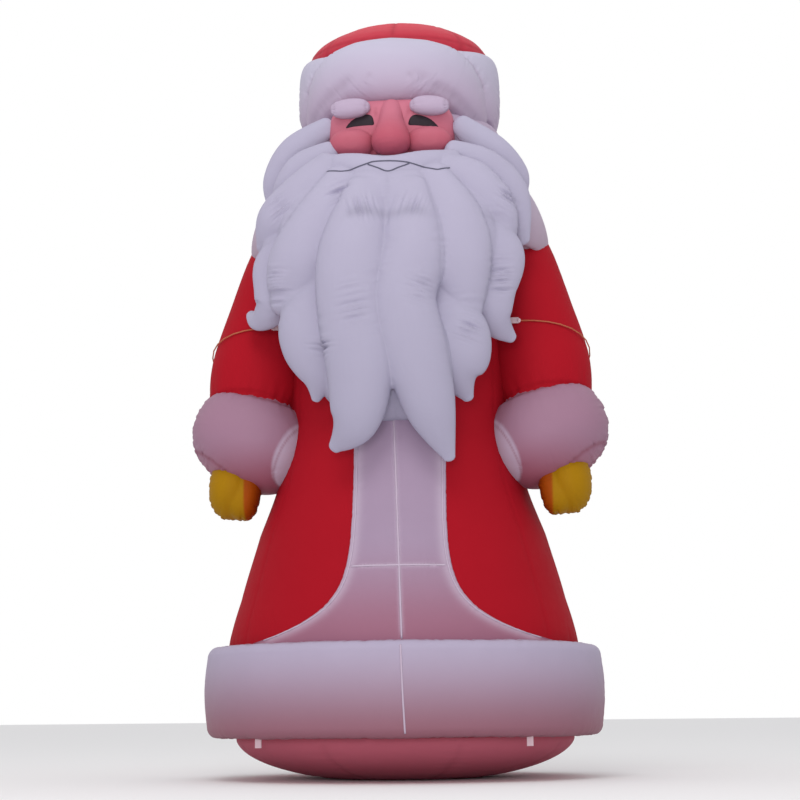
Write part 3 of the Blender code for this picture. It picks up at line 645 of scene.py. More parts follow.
def cloth_group():
    """Coated nylon: a fine weave, cloudy colour, soft crinkles, painted shade towards the bottom, and duller seams
    with painted shade in them, or a painted sheen where their colour is lighter.
    """
    group = bpy.data.node_groups.get("Coated Nylon")
    if group:
        return group
    group = bpy.data.node_groups.new("Coated Nylon", "ShaderNodeTree")
    for name, default in (
        ("Colour", (0.8, 0.8, 0.8, 1)), ("Low Shade Colour", (0.8, 0.8, 0.8, 1)), ("Seam Shading Colour", (0.5, 0.5, 0.5, 1)),
        ("Panel Colour", (0.5, 0.5, 0.5, 1)), ("Low Height", 0.0), ("High Height", 1.0), ("Cloudiness", 0.08),
        ("Roughness", 0.45), ("Crinkle", 0.5), ("Weave", 0.2),
    ):
        kind = "NodeSocketFloat" if isinstance(default, float) else "NodeSocketColor"
        group.interface.new_socket(name=name, in_out="INPUT", socket_type=kind).default_value = default
    for name, kind in (("Colour", "NodeSocketColor"), ("Roughness", "NodeSocketFloat"), ("Height", "NodeSocketFloat")):
        group.interface.new_socket(name=name, in_out="OUTPUT", socket_type=kind)
    nodes, links = group.nodes, group.links
    entry, leave = nodes.new("NodeGroupInput"), nodes.new("NodeGroupOutput")
    where = nodes.new("ShaderNodeTexCoord")
    split = nodes.new("ShaderNodeSeparateXYZ")
    links.new(where.outputs["Object"], split.inputs[0])
    # The lower colour towards the bottom paints shade there.
    rise = nodes.new("ShaderNodeMapRange")
    rise.interpolation_type = "SMOOTHSTEP"
    links.new(split.outputs["Z"], rise.inputs["Value"])
    links.new(entry.outputs["Low Height"], rise.inputs["From Min"])
    links.new(entry.outputs["High Height"], rise.inputs["From Max"])
    clouds = nodes.new("ShaderNodeTexNoise")
    clouds.inputs["Scale"].default_value = 1.7
    clouds.inputs["Detail"].default_value = 5
    links.new(where.outputs["Object"], clouds.inputs["Vector"])
    base = mix_colour(nodes, links, rise.outputs["Result"], entry.outputs["Low Shade Colour"], entry.outputs["Colour"])
    # The panel colour paints another light on a marked panel, such as the mitten's thumb side in painted shade.
    panel = nodes.new("ShaderNodeAttribute")
    panel.attribute_name = "panel"
    base = mix_colour(nodes, links, panel.outputs["Fac"], base, entry.outputs["Panel Colour"])
    amount = math_node(nodes, links, "MULTIPLY", clouds.outputs["Fac"], entry.outputs["Cloudiness"])
    base = mix_colour(nodes, links, amount, base, (0.25, 0.16, 0.22, 1), "MULTIPLY")
    # The seam colour paints shade in the drawn-in seams and creases, or a painted sheen where it is lighter.
    seam = nodes.new("ShaderNodeAttribute")
    seam.attribute_name = "seam"
    seam_shading_amount = math_node(nodes, links, "MULTIPLY", seam.outputs["Fac"], 0.55)
    colour = mix_colour(nodes, links, seam_shading_amount, base, entry.outputs["Seam Shading Colour"])
    links.new(colour, leave.inputs["Colour"])
    crinkle = nodes.new("ShaderNodeTexNoise")
    crinkle.inputs["Scale"].default_value = 9.0
    crinkle.inputs["Detail"].default_value = 7
    crinkle.inputs["Distortion"].default_value = 0.6
    links.new(where.outputs["Object"], crinkle.inputs["Vector"])
    waves = []
    for axis in ("X", "Z"):
        wave = nodes.new("ShaderNodeTexWave")
        wave.bands_direction = axis
        wave.inputs["Scale"].default_value = 90.0
        wave.inputs["Distortion"].default_value = 0.4
        links.new(where.outputs["Object"], wave.inputs["Vector"])
        waves.append(wave.outputs["Fac"])
    weave = math_node(nodes, links, "MULTIPLY", waves[0], waves[1])
    weave = math_node(nodes, links, "MULTIPLY", weave, entry.outputs["Weave"])
    soft = math_node(nodes, links, "MULTIPLY", crinkle.outputs["Fac"], entry.outputs["Crinkle"])
    links.new(math_node(nodes, links, "ADD", weave, soft), leave.inputs["Height"])
    dull = math_node(nodes, links, "MULTIPLY", crinkle.outputs["Fac"], 0.16)
    rough = math_node(nodes, links, "ADD", entry.outputs["Roughness"], dull)
    rough = math_node(nodes, links, "ADD", rough, math_node(nodes, links, "MULTIPLY", seam.outputs["Fac"], 0.1))
    links.new(rough, leave.inputs["Roughness"])
    return group


# Shades of the cloths, in linear light, with painted light in them: each cloth's lower colour is darker and pinker,
# which paints the shade and the red glow of the red cloth lower down. The panel's and the cuffs' white is painted
# darker and pinker all over as shade and red glow, the mitten's side colour is its thumb side in painted shade, and
# the panel's light colour is both the seam tape's colour and a painted sheen on the panel's border.
WHITE_HIGH, WHITE_PAINTED_SHADE = (0.52, 0.50, 0.63), (0.48, 0.39, 0.52)
BEARD_HIGH, BEARD_PAINTED_SHADE = (0.44, 0.42, 0.55), (0.38, 0.365, 0.48)
COLLAR_HIGH, COLLAR_PAINTED_SHADE = (0.50, 0.43, 0.56), (0.43, 0.33, 0.42)
PANEL_HIGH, PANEL_PAINTED_SHADE, PANEL_TAPE_AND_SHEEN = (0.36, 0.27, 0.38), (0.32, 0.135, 0.20), (0.53, 0.44, 0.55)
HEM_HIGH, HEM_PAINTED_SHADE = (0.43, 0.39, 0.52), (0.28, 0.11, 0.145)
# Painted shade and red glow: the cuffs' white cloth is painted pink, darker lower down, with a lighter end.
CUFF_HIGH, CUFF_PAINTED_SHADE, CUFF_END = (0.34, 0.19, 0.27), (0.32, 0.09, 0.135), (0.50, 0.42, 0.54)
FACE_PAINTED_SHADE, NOSE_PAINTED_SHADE = (0.48, 0.115, 0.165), (0.48, 0.10, 0.15)
MITTEN_SIDE_SHADE = (0.34, 0.065, 0.003)


def with_alpha(colour):
    return (*colour, 1.0)


def darker(colour, share):
    return tuple(value * share for value in colour)


def cloth(name, colour, low=None, seam=None, panel=None, heights=(0.0, 1.0), roughness=0.45, specular=0.15):
    """A coated cloth's material, from one colour high up to another low down: the lower one and the seams' colour
    paint shade.
    """
    name = "nylon_" + name
    made = bpy.data.materials.get(name)
    if made:
        return made
    made = bpy.data.materials.new(name)
    made.use_nodes = True
    nodes, links = made.node_tree.nodes, made.node_tree.links
    shader = nodes["Principled BSDF"]
    group = nodes.new("ShaderNodeGroup")
    group.node_tree = cloth_group()
    low = low or colour
    # By default the seams are painted darker: painted shade.
    seam = seam or darker(low, 0.7)
    for key, value in (
        ("Colour", with_alpha(colour)), ("Low Shade Colour", with_alpha(low)), ("Seam Shading Colour", with_alpha(seam)),
        ("Panel Colour", with_alpha(panel or low)),
        ("Low Height", heights[0]), ("High Height", heights[1]), ("Cloudiness", 0.10),
        ("Roughness", roughness), ("Crinkle", 0.5), ("Weave", 0.12),
    ):
        group.inputs[key].default_value = value
    relief = nodes.new("ShaderNodeBump")
    relief.inputs["Strength"].default_value = 0.05
    relief.inputs["Distance"].default_value = 0.03
    links.new(group.outputs["Height"], relief.inputs["Height"])
    links.new(group.outputs["Colour"], shader.inputs["Base Color"])
    links.new(group.outputs["Roughness"], shader.inputs["Roughness"])
    links.new(relief.outputs["Normal"], shader.inputs["Normal"])
    shader.inputs["Specular IOR Level"].default_value = specular
    made.diffuse_color = with_alpha(colour)
    return made


def colours():
    return bpy.context.scene.inflatable_colours


def sizes():
    return bpy.context.scene.inflatable_sizes


def robe_red():
    red = colours().robe
    # Painted shade: the robe is darker lower down and at its seams.
    return cloth("robe_cloth", red, low=darker(red, 0.94), seam=darker(red, 0.85),
                 heights=(metres(16), metres(60)), roughness=0.55, specular=0.04)


def white_cloth():
    # Painted shade and red glow: the white cloth is darker and pinker lower down and at its seams.
    return cloth("white_cloth", WHITE_HIGH, low=WHITE_PAINTED_SHADE, seam=darker(WHITE_PAINTED_SHADE, 0.8),
                 heights=(metres(84), metres(93)))


def beard_cloth():
    # Painted shade: the beard is darker lower down and at its seams and creases.
    return cloth("beard_cloth", BEARD_HIGH, low=BEARD_PAINTED_SHADE, seam=darker(BEARD_PAINTED_SHADE, 0.8),
                 heights=(metres(40), metres(76)))


def woven(name, colour, dark, bands, scale, distortion, strength, distance, roughness):
    """A material of twisted or woven strands: bands of a darker shade, and a relief that follows them."""
    made = bpy.data.materials.get(name)
    if made:
        return made
    made = bpy.data.materials.new(name)
    made.use_nodes = True
    nodes, links = made.node_tree.nodes, made.node_tree.links
    shader = nodes["Principled BSDF"]
    where = nodes.new("ShaderNodeTexCoord")
    wave = nodes.new("ShaderNodeTexWave")
    wave.bands_direction = bands
    wave.inputs["Scale"].default_value = scale
    wave.inputs["Distortion"].default_value = distortion
    links.new(where.outputs["Object"], wave.inputs["Vector"])
    shades = mix_colour(nodes, links, wave.outputs["Fac"], with_alpha(darker(colour, dark)), with_alpha(colour))
    links.new(shades, shader.inputs["Base Color"])
    bump = nodes.new("ShaderNodeBump")
    bump.inputs["Strength"].default_value = strength
    bump.inputs["Distance"].default_value = distance
    links.new(wave.outputs["Fac"], bump.inputs["Height"])
    links.new(bump.outputs["Normal"], shader.inputs["Normal"])
    shader.inputs["Roughness"].default_value = roughness
    return made


def rope_material():
    return woven("braided_rope", colours().rope, 0.55, "DIAGONAL", 60, 1.5, 0.6, 0.004, 0.75)


def webbing_material():
    return woven("woven_webbing", colours().webbing, 0.7, "Z", 110, 0.0, 0.4, 0.002, 0.8)


# Body

def upright_seam(sections, angle, low, high, back=0.0):
    """A seam that runs up a body at one angle."""
    return dense([surface_point(sections, angle, low + (high - low) * step / 60, back=back) for step in range(61)])


def level_seam(sections, height, back=0.0, outward=0.0):
    """A seam round a body at one height."""
    return dense([
        surface_point(sections, 2 * math.pi * step / 180, height, outward, back) for step in range(180)
    ], closed=True)


def make_base():
    """The bowl-shaped bottom chamber, flat where it stands on the ground."""
    steps, foot, radius = 40, 8.0, 21.2
    deep = ROBE_SECTIONS[0][2] / ROBE_SECTIONS[0][1]
    sections = []
    for step in range(steps + 1):
        share = step / steps
        wide = foot + (radius - foot) * math.sin(share * math.pi / 2) ** 1.3
        sections.append((5.18 * (1 - math.cos(share * math.pi / 2)), wide, wide * deep, 2.0))
    sides = 260
    loops = [
        [Vector((*superellipse(2 * math.pi * k / sides, metres(w), metres(d), q), metres(z))) for k in range(sides)]
        for z, w, d, q in sections
    ]
    mesh = skin("base_skin", loops)
    seams = [dense([Vector((*superellipse(angle, metres(w), metres(d), q), metres(z))) for z, w, d, q in sections])
             for angle in (math.pi * (2 * k + 1) / 8 for k in range(8))]
    seams.append(dense(loops[-1], closed=True))
    foot_spots = {vert.index: vert.co.copy() for vert in mesh.vertices if vert.co.z < 0.002}
    gather(mesh, seams, depth=0.008, reach=0.03, pleat=sizes().pleat * 0.8, spread=0.12, seed=2.0)
    for index, spot in foot_spots.items():
        mesh.vertices[index].co = spot
    for vert in mesh.vertices:
        vert.co.z = max(vert.co.z, 0.0)
    red = colours().base
    # Painted shade: the base is darker in its drawn-in seams.
    material = cloth("base_cloth", red, low=red, seam=darker(red, 0.85), roughness=0.6, specular=0.08)
    return add_piece("base_skin", mesh, material, "base")


def make_robe():
    """The red cone of the robe, in upright gores."""
    mesh = skin("robe_skin", loft_loops(ROBE_SECTIONS, 150, 300))
    ripple(mesh, 0.012, 0.9, 4.0)
    seams = [upright_seam(ROBE_SECTIONS, angle, ROBE_FOOT, 72) for angle in
             (math.radians(a) for a in (-145, -35, 20, 60, 90, 120, 160))]
    seams.append(level_seam(ROBE_SECTIONS, HEM_TOP + 0.2, outward=0.01))
    seams.append(level_seam(ROBE_SECTIONS, 72.5))
    gather(mesh, seams, depth=0.006, reach=0.02, pleat=sizes().pleat * 0.7, spread=0.14, seed=3.0)
    return add_piece("robe_skin", mesh, robe_red(), "robe")


def hem_section():
    """The hem band's section: outward and height in metres, closed, with an inner wall."""
    bottom, top, thick, corner = metres(5.0), metres(16.2), metres(2.7), metres(1.45)
    points = [(0.0, bottom + 0.02)]
    steps = 10
    for step in range(1, 4):
        points.append(((thick - corner) * step / 4, bottom + 0.02 * (1 - step / 4)))
    for step in range(steps + 1):
        turn = math.pi / 2 * step / steps
        points.append((thick - corner + corner * math.sin(turn), bottom + corner * (1 - math.cos(turn))))
    middle = 22
    for step in range(1, middle):
        share = step / middle
        bulge = metres(0.35) * math.sin(share * math.pi)
        points.append((thick + bulge, bottom + corner + (top - bottom - 2 * corner) * share))
    for step in range(steps + 1):
        turn = math.pi / 2 * step / steps
        points.append((thick - corner + corner * math.cos(turn), top - corner + corner * math.sin(turn)))
    for step in range(1, 4):
        points.append(((thick - corner) * (1 - step / 4), top - 0.02 * step / 4))
    points.append((0.0, top - 0.02))
    return points


def hem_path(angle):
    """The robe's foot, which the hem band goes round."""
    _, half_width, half_depth, squareness = ROBE_SECTIONS[0]
    return superellipse(angle, metres(half_width) + 0.002, metres(half_depth) + 0.002, squareness)


def make_hem():
    """The puffed band round the robe's foot, with its upright seams."""
    sides = 420
    loops = ring_loops(hem_path, hem_section(), sides)
    mesh = skin("hem_skin", loops, wrap=True)
    ripple(mesh, 0.010, 0.8, 9.0)
    section = hem_section()
    seams = []
    for degrees in (-5, 36, 77, 118, 159, 185):
        side = int(round((degrees % 360) / 360 * sides)) % sides
        seams.append(dense(loops[side][4:-4]))
    for wanted in (metres(5.0), metres(16.2)):
        k = min(range(len(section)), key=lambda i: abs(section[i][1] - wanted) - section[i][0] * 0.1)
        seams.append(dense([loop[k] for loop in loops], closed=True))
    gather(mesh, seams, depth=0.014, reach=0.028, pleat=sizes().pleat * 0.8, spread=0.13, seed=5.0)
    # Painted shade and red glow: the band is darker and pinker lower down and at its seams.
    material = cloth("hem_cloth", HEM_HIGH, low=HEM_PAINTED_SHADE, seam=darker(HEM_PAINTED_SHADE, 0.95),
                     heights=(metres(4), metres(17)))
    hem = add_piece("hem_skin", mesh, material, "hem_band")
    line = smooth_line([(middle_seam(z), z) for z in (0.45, 0.7, 1.0, 1.24)], 10)
    tape("hem_seam", tree_of(mesh), line, sizes().tape_width, cloth("seam_tape", PANEL_TAPE_AND_SHEEN))
    return hem


def panel_half_width(height):
    """Half the width of the front panel at a height, flaring out just above the hem band."""
    rise = max(height - HEM_TOP, 0) / PANEL_FLARE_HEIGHT
    return PANEL_HALF_WIDTH + PANEL_FLARE * math.exp(-rise)


def front_of_robe(across, height, outward=0.0):
    """The point of the robe's front at a distance sideways, in percent."""
    _, half_width, half_depth, squareness = section_at(ROBE_SECTIONS, height)
    share = min(0.98, abs(across) / half_width)
    depth = metres(half_depth) * (1 - share ** squareness) ** (1 / squareness)
    normal = Vector((across / half_width ** 2, -1 / half_depth, 0)).normalized()
    return Vector((metres(across), -depth, metres(height))) + normal * outward


def make_panel():
    """The puffed strip down the front, with a rolled border."""
    thickness = sizes().panel_thickness
    rows, columns = 200, 120
    low = HEM_TOP - 1.0
    bm = bmesh.new()
    front, back = [], []
    for row in range(rows + 1):
        height = low + (PANEL_TOP - low) * (row / rows) ** 1.5
        half = panel_half_width(height)
        line, rear = [], []
        for column in range(columns + 1):
            share = 2 * column / columns - 1
            share = math.copysign(1 - (1 - abs(share)) ** 1.35, share)
            across = PANEL_CENTRE + share * half
            inward = metres(half) * (1 - abs(share))
            rolled = math.sin(min(1.0, inward / PANEL_BORDER) * math.pi) * 0.010 if inward < PANEL_BORDER else 0.0
            puffed = min(1.0, inward / 0.03) ** 0.6 * (thickness * 0.25) + rolled
            puffed += 0.025 * math.sin(min(1.0, max(0.0, inward - PANEL_BORDER) / 0.3) * math.pi / 2)
            line.append(bm.verts.new(front_of_robe(across, height, 0.006 + puffed)))
            rear.append(bm.verts.new(front_of_robe(across, height, -0.02)))
        front.append(line)
        back.append(rear)
    for grid, flip in ((front, False), (back, True)):
        for row in range(rows):
            for column in range(columns):
                face = (grid[row][column], grid[row][column + 1], grid[row + 1][column + 1], grid[row + 1][column])
                bm.faces.new(reversed(face) if flip else face)
    for row in range(rows):
        bm.faces.new((front[row][0], front[row + 1][0], back[row + 1][0], back[row][0]))
        bm.faces.new((front[row][-1], back[row][-1], back[row + 1][-1], front[row + 1][-1]))
    for column in range(columns):
        bm.faces.new((front[0][column], back[0][column], back[0][column + 1], front[0][column + 1]))
        bm.faces.new((front[-1][column], front[-1][column + 1], back[-1][column + 1], back[-1][column]))
    mesh = mesh_of(bm, "panel_skin")
    tree = tree_of(mesh)
    upright = [(middle_seam(z), z) for z in (1.30, 1.9, 2.5, 3.1, 3.7)]
    cross = [(metres(PANEL_CENTRE) + x, 1.985) for x in (-0.44, -0.2, 0.0, 0.2, 0.44)]
    edges = []
    for side in (-1, 1):
        line = []
        for step in range(40):
            height = HEM_TOP + 0.3 + (PANEL_TOP - HEM_TOP - 1) * (step / 39) ** 1.5
            inset = metres(panel_half_width(height)) - PANEL_BORDER
            line.append((metres(PANEL_CENTRE) + side * inset, metres(height)))
        edges.append(line)
    # The wide reach along the border paints a sheen there in the light seam colour: painted highlight.
    for lines, depth, reach, seed in (((upright, cross), 0.012, 0.022, 6.0), (edges, 0.004, 0.06, 6.5)):
        gather(mesh, [dense(traced(tree, line)) for line in lines], depth=depth, reach=reach, pleat=0.006,
               spread=0.10, seed=seed)
    pleats(mesh, (0.46, -1.50, 2.62), (0, 0, 1), 0.05, 0.10, 0.04, 0.016, 3.0)
    pleats(mesh, (-0.36, -1.50, 2.45), (0, 0, 1), 0.05, 0.10, 0.04, 0.010, 4.0)
    # Painted shade and red glow lower down, and a painted sheen by the seams and border.
    material = cloth("panel_cloth", PANEL_HIGH, low=PANEL_PAINTED_SHADE, seam=PANEL_TAPE_AND_SHEEN, heights=(1.3, 2.3))
    panel = add_piece("panel_skin", mesh, material, "front_panel")
    tree = tree_of(mesh)
    light = cloth("seam_tape", PANEL_TAPE_AND_SHEEN)
    width = sizes().tape_width
    for name, line, steps, wide in (
        ("panel_seam_upright", upright, 10, width), ("panel_seam_level", cross, 10, width),
        ("panel_border_right", edges[0], 3, width * 0.8), ("panel_border_left", edges[1], 3, width * 0.8),
    ):
        tape(name, tree, smooth_line(line, steps), wide, light)
    return panel


def middle_seam(height):
    """How far sideways the seam down the front lies at a height, both in metres."""
    return 0.03 + 0.043 * (3.4 - height)


def make_collar():
    """The puffed collar round the neck."""
    def path(angle):
        return superellipse(angle, metres(16.4), metres(13.6), 2.2)

    section = []
    steps = 56
    for step in range(steps):
        turn = 2 * math.pi * step / steps
        rise = math.sin(turn)
        section.append((metres(2.5 * math.cos(turn) - 2.0 * rise), metres(71.4 + 5.6 * rise)))
    sides = 280
    loops = ring_loops(path, section, sides)
    mesh = skin("collar_skin", loops, wrap=True)
    ripple(mesh, 0.02, 0.5, 2.0)
    seams = [dense([loop[steps * 3 // 4] for loop in loops], closed=True)]
    seams += [dense(loops[int(sides * share)][:steps // 3]) for share in (0.08, 0.25, 0.42, 0.58, 0.92)]
    gather(mesh, seams, depth=0.02, reach=0.03, pleat=sizes().pleat, spread=0.16, seed=8.0)
    # Painted shade: the collar is darker and pinker lower down.
    material = cloth("collar_cloth", COLLAR_HIGH, low=COLLAR_PAINTED_SHADE, heights=(5.2, 6.2))
    return add_piece("collar_skin", mesh, material, "collar")


# Head

def make_head():
    """The white back and sides of the head."""
    mesh = skin("head_skin", loft_loops(HEAD_SECTIONS, 50, 220, back=HEAD_BACK))
    seams = [upright_seam(HEAD_SECTIONS, math.radians(a), 75, 86, back=HEAD_BACK) for a in (10, 50, 90, 130, 170)]
    seams.append(level_seam(HEAD_SECTIONS, 84.2, back=HEAD_BACK))
    gather(mesh, seams, depth=0.012, reach=0.025, pleat=sizes().pleat * 0.8, spread=0.12, seed=9.0)
    return add_piece("head_skin", mesh, white_cloth(), "head")


def make_crown():
    """The red dome of the hat."""
    mesh = skin("crown_skin", loft_loops(CROWN_SECTIONS, 70, 220, back=HEAD_BACK))
    seams = [upright_seam(CROWN_SECTIONS, math.pi * k / 4, 90, 100, back=HEAD_BACK) for k in range(8)]
    seams.append(level_seam(CROWN_SECTIONS, 94.3, back=HEAD_BACK))
    gather(mesh, seams, depth=0.006, reach=0.025, pleat=sizes().pleat * 0.6, spread=0.12, seed=10.0)
    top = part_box("hat_crown")[1][2]
    for vert in mesh.vertices:
        vert.co.z = min(vert.co.z, top)
    hat = colours().hat
    # Painted shade: the crown is darker lower down, towards the band.
    material = cloth("hat_cloth", hat, low=darker(hat, 0.75), heights=(metres(93), metres(98)))
    return add_piece("crown_skin", mesh, material, "hat_crown")


def trim_path(angle):
    """The hat's foot, which the white band goes round."""
    _, half_width, half_depth, squareness = CROWN_SECTIONS[0]
    x, y = superellipse(angle, metres(half_width), metres(half_depth), squareness)
    return x, y + metres(HEAD_BACK)


def height_between(line, x):
    """The height of a line of (x, z) points at a distance sideways."""
    for (x1, z1), (x2, z2) in zip(line, line[1:]):
        if x <= x2:
            share = max(0.0, (x - x1) / (x2 - x1))
            return z1 + (z2 - z1) * share
    return line[-1][1]


def roll_loops():
    """The puff in front of the hat: high in the middle, and drawn in towards its ends."""
    loops = []
    rows = 160
    for row in range(rows + 1):
        share = 2 * row / rows - 1
        angle = math.radians(-90 + 71 * share)
        x, y = trim_path(angle)
        x2, y2 = trim_path(angle + 0.01)
        normal = Vector((y2 - y, x - x2, 0)).normalized()
        top, low = height_between(ROLL_TOP, abs(x)), height_between(ROLL_BOTTOM, abs(x))
        end = max(0.02, (1 - abs(share) ** 5)) ** 0.5
        middle, half = (top + low) / 2, (top - low) / 2 * end
        thick = metres(1.2 + 2.9 * math.cos(share * math.pi / 2) ** 1.2) * end
        section = (superellipse(2 * math.pi * step / 72, thick, half, 2.5) for step in range(72))
        loops.append([Vector((x, y, middle + rise)) + normal * out for out, rise in section])
    return loops


def make_trim():
    """The hat's white band, with the big puffed roll round its front."""
    round_section = (superellipse(2 * math.pi * step / 48, 1.3, 4.7, 3.0) for step in range(48))
    section = [(metres(0.05 + max(out, -0.5)), metres(89.4 + rise)) for out, rise in round_section]
    band = skin("band", ring_loops(trim_path, section, 240), wrap=True)
    for vert in band.vertices:
        rise = max(0.0, vert.co.z - metres(89.1)) / metres(4.7)
        front = max(0.0, metres(HEAD_BACK) - vert.co.y) / metres(11.7)
        vert.co.z -= metres(2.4) * rise * front ** 2
    mesh = blown_up("trim_skin", [band, skin("roll", roll_loops())], sizes().voxel * 0.8, 3)
    ripple(mesh, 0.010, 0.6, 7.0)
    tree = tree_of(mesh)
    creases = [dense(traced(tree, line)) for line in ROLL_CREASES]
    gather(mesh, creases, depth=0.014, reach=0.06, pleat=0.004, spread=0.08, spacing=0.07, seed=11.0)
    rims = []
    for side in (-1, 1):
        for line, inset in ((ROLL_TOP, -0.01), (ROLL_BOTTOM, 0.01)):
            rims.append(dense(traced(tree, [(side * x, z + inset) for x, z in line[2:]])))
    gather(mesh, rims, depth=0.004, reach=0.03, pleat=0.012, spread=0.15, spacing=0.045, seed=23.0)
    for side in (-1, 1):
        for height in (6.86, 6.98, 7.10, 7.20):
            pleats(mesh, (1.06 * side, 0.0, height), (0, 0, 1), 0.16, 0.07, 0.035, 0.016, height)
    return add_piece("trim_skin", mesh, white_cloth(), "hat_trim")


def make_face():
    """The pink face with its two cheeks, the eyes laid on it, the nose and the brows."""
    shapes = [skin("face", pillow_loops((0, -10.6, 80.4), (8.0, 2.9, 4.4), 3.4))]
    for side in (-1, 1):
        shapes.append(skin("cheek", pillow_loops((CHEEK_OUT * side, -13.0, 78.5), (2.9, 2.2, 1.9), 2.3)))
    mesh = blown_up("face_skin", shapes, sizes().voxel * 0.7, 8)
    for side in (-1, 1):
        relax(mesh, place((CHEEK_OUT * side, -15.2, 78.5)), 0.09)
    tree = tree_of(mesh)
    seams = []
    for side in (-1, 1):
        cheek_top = [(side * (0.392 + 0.24 * math.cos(a)), 6.26 + 0.17 * math.sin(a))
                     for a in (math.pi * k / 8 for k in range(9))]
        nose_side = [(0.02 + side * out, z) for out, z in ((0.155, 6.68), (0.17, 6.62), (0.15, 6.53))]
        seams += [dense(traced(tree, line)) for line in (cheek_top, nose_side)]
    gather(mesh, seams, depth=0.012, reach=0.018, pleat=0.006, spread=0.05, spacing=0.04, seed=12.0)
    pink = colours().pink
    # Painted shade: the face is darker lower down and in the seams round the cheeks and nose.
    face_cloth = cloth("face_cloth", pink, low=FACE_PAINTED_SHADE, heights=(6.25, 6.60))
    add_piece("face_skin", mesh, face_cloth, "face")
    tree = tree_of(mesh)
    grey = cloth("eye_cloth", colours().eye, roughness=0.35)
    for name, outline in (("eye_left", EYES[1]), ("eye_right", EYES[0])):
        middle = (sum(x for x, _ in outline) / len(outline), 6.50)
        patch(name, tree, rounded_outline(outline), middle, grey)
    mesh = blown_up("nose_skin", [skin("nose", tube_loops(NOSE_LINE, 48, 48))], sizes().voxel * 0.6, 10)
    # Painted shade: the nose is darker lower down.
    nose_cloth = cloth("nose_cloth", pink, low=NOSE_PAINTED_SHADE, heights=(6.25, 6.65))
    add_piece("nose_skin", mesh, nose_cloth, "nose")
    brow = skin("brow", pillow_loops((5.0, -13.7, 83.1), (2.5, 1.1, 1.25), 2.3, (0, 4.0), rows=80, sides=80))
    tree = tree_of(brow)
    ends = [dense(snapped(tree, [place((5.0 + 2.2 * side, -13.7 + math.cos(a), 83.1 + math.sin(a))) for a in
                                 (2 * math.pi * k / 16 for k in range(16))]), closed=True) for side in (-1, 1)]
    gather(brow, ends, depth=0.006, reach=0.012, pleat=0.016, spread=0.05, spacing=0.028, seed=14.0)
    for name, mesh in (("brow_left", brow.copy()), ("brow_right", mirrored(brow, "brow_right"))):
        add_piece(name + "_skin", mesh, white_cloth(), name)
    bpy.data.meshes.remove(brow)


def rounded_outline(outline, steps=4):
    """A closed outline with more points, on a smooth curve through the given ones."""
    ring = [outline[-1], *outline, outline[0], outline[1]]
    return [smooth_between(ring, 1 + index + step / steps) for index in range(len(outline)) for step in range(steps)]


# Beard

def beard_depth(across, height):
    """How far forward the beard stands, in percent."""
    return BEARD_FORWARD + BEARD_LEAN * (74.0 - height) - BEARD_CURVE * across * across


def lock_line(line, forward):
    """A lock's centreline, so far forward that the lock's front is as far out when it is flattened."""
    return [
        (x, -beard_depth(x, z) - forward - radius * (1 - LOCK_FLATNESS), z, radius * 1.06) for x, z, radius in line
    ]


def make_beard():
    """The beard: its curved locks and the cushion behind them, blown up as one chamber."""
    lines = [lock_line(line, forward) for line, forward in LOCKS]
    shapes = [skin("lock", tube_loops(line, 40, 32, LOCK_FLATNESS)) for line in lines]
    shapes += [skin("cushion", pillow_loops(*cushion)) for cushion in BEARD_CUSHIONS]
    mesh = blown_up("beard_skin", shapes, sizes().voxel * 0.8, 5)
    flattened(mesh, 0.5, 240, (0.03, 5.66), (0.42, 0.26))
    pucker_beard(mesh, lines)
    tree = tree_of(mesh)
    swell(mesh, traced(tree, ((-0.10, 5.72), (0.02, 5.60), (0.14, 5.72))), -0.035, 0.20)
    gather(mesh, [dense(traced(tree, CHIN_CREASE))], depth=0.006, reach=0.06, pleat=0.004, spread=0.13,
           spacing=0.08, seed=21.0)
    gather(mesh, [dense(traced(tree, CHIN_SEAM))], depth=0.008, reach=0.014, pleat=0.004, spread=0.06, seed=22.0)
    tree = tree_of(mesh)
    for index, ((x, z), (sideways, upward), extent) in enumerate(BEARD_WRINKLES):
        pleats(mesh, laid(tree, x, z)[0], (sideways, 0, upward), 0.12, extent * 1.15, 0.045, 0.042, index + 1.0)
    beard = add_piece("beard_skin", mesh, beard_cloth(), "beard")
    tree = tree_of(mesh)
    grey = cloth("mouth_line", colours().line, roughness=0.5)
    for name, line in (("mouth_line", MOUTH), ("lip_line", LIP)):
        tape(name, tree, smooth_line(line, 6), 0.014, grey, thickness=0.002)
    return beard


def flattened(mesh, share, rounds, calm, extent):
    """Makes the relief of a skin shallower from front to back, most at a calm spot, and keeps its outline."""
    count = len(mesh.vertices)
    spots = np.empty(count * 3)
    mesh.vertices.foreach_get("co", spots)
    ends = np.empty(len(mesh.edges) * 2, dtype=np.int64)
    mesh.edges.foreach_get("vertices", ends)
    first, second = ends[0::2], ends[1::2]
    links = np.bincount(ends, minlength=count)
    depth = spots[1::3].copy()
    for _ in range(rounds):
        total = np.bincount(first, depth[second], count) + np.bincount(second, depth[first], count)
        depth += 0.7 * (total / links - depth)
    away = ((spots[0::3] - calm[0]) / extent[0]) ** 4 + ((spots[2::3] - calm[1]) / extent[1]) ** 4
    spots[1::3] += (share + (0.95 - share) * np.exp(-away)) * (depth - spots[1::3])
    mesh.vertices.foreach_set("co", spots)
    mesh.update()


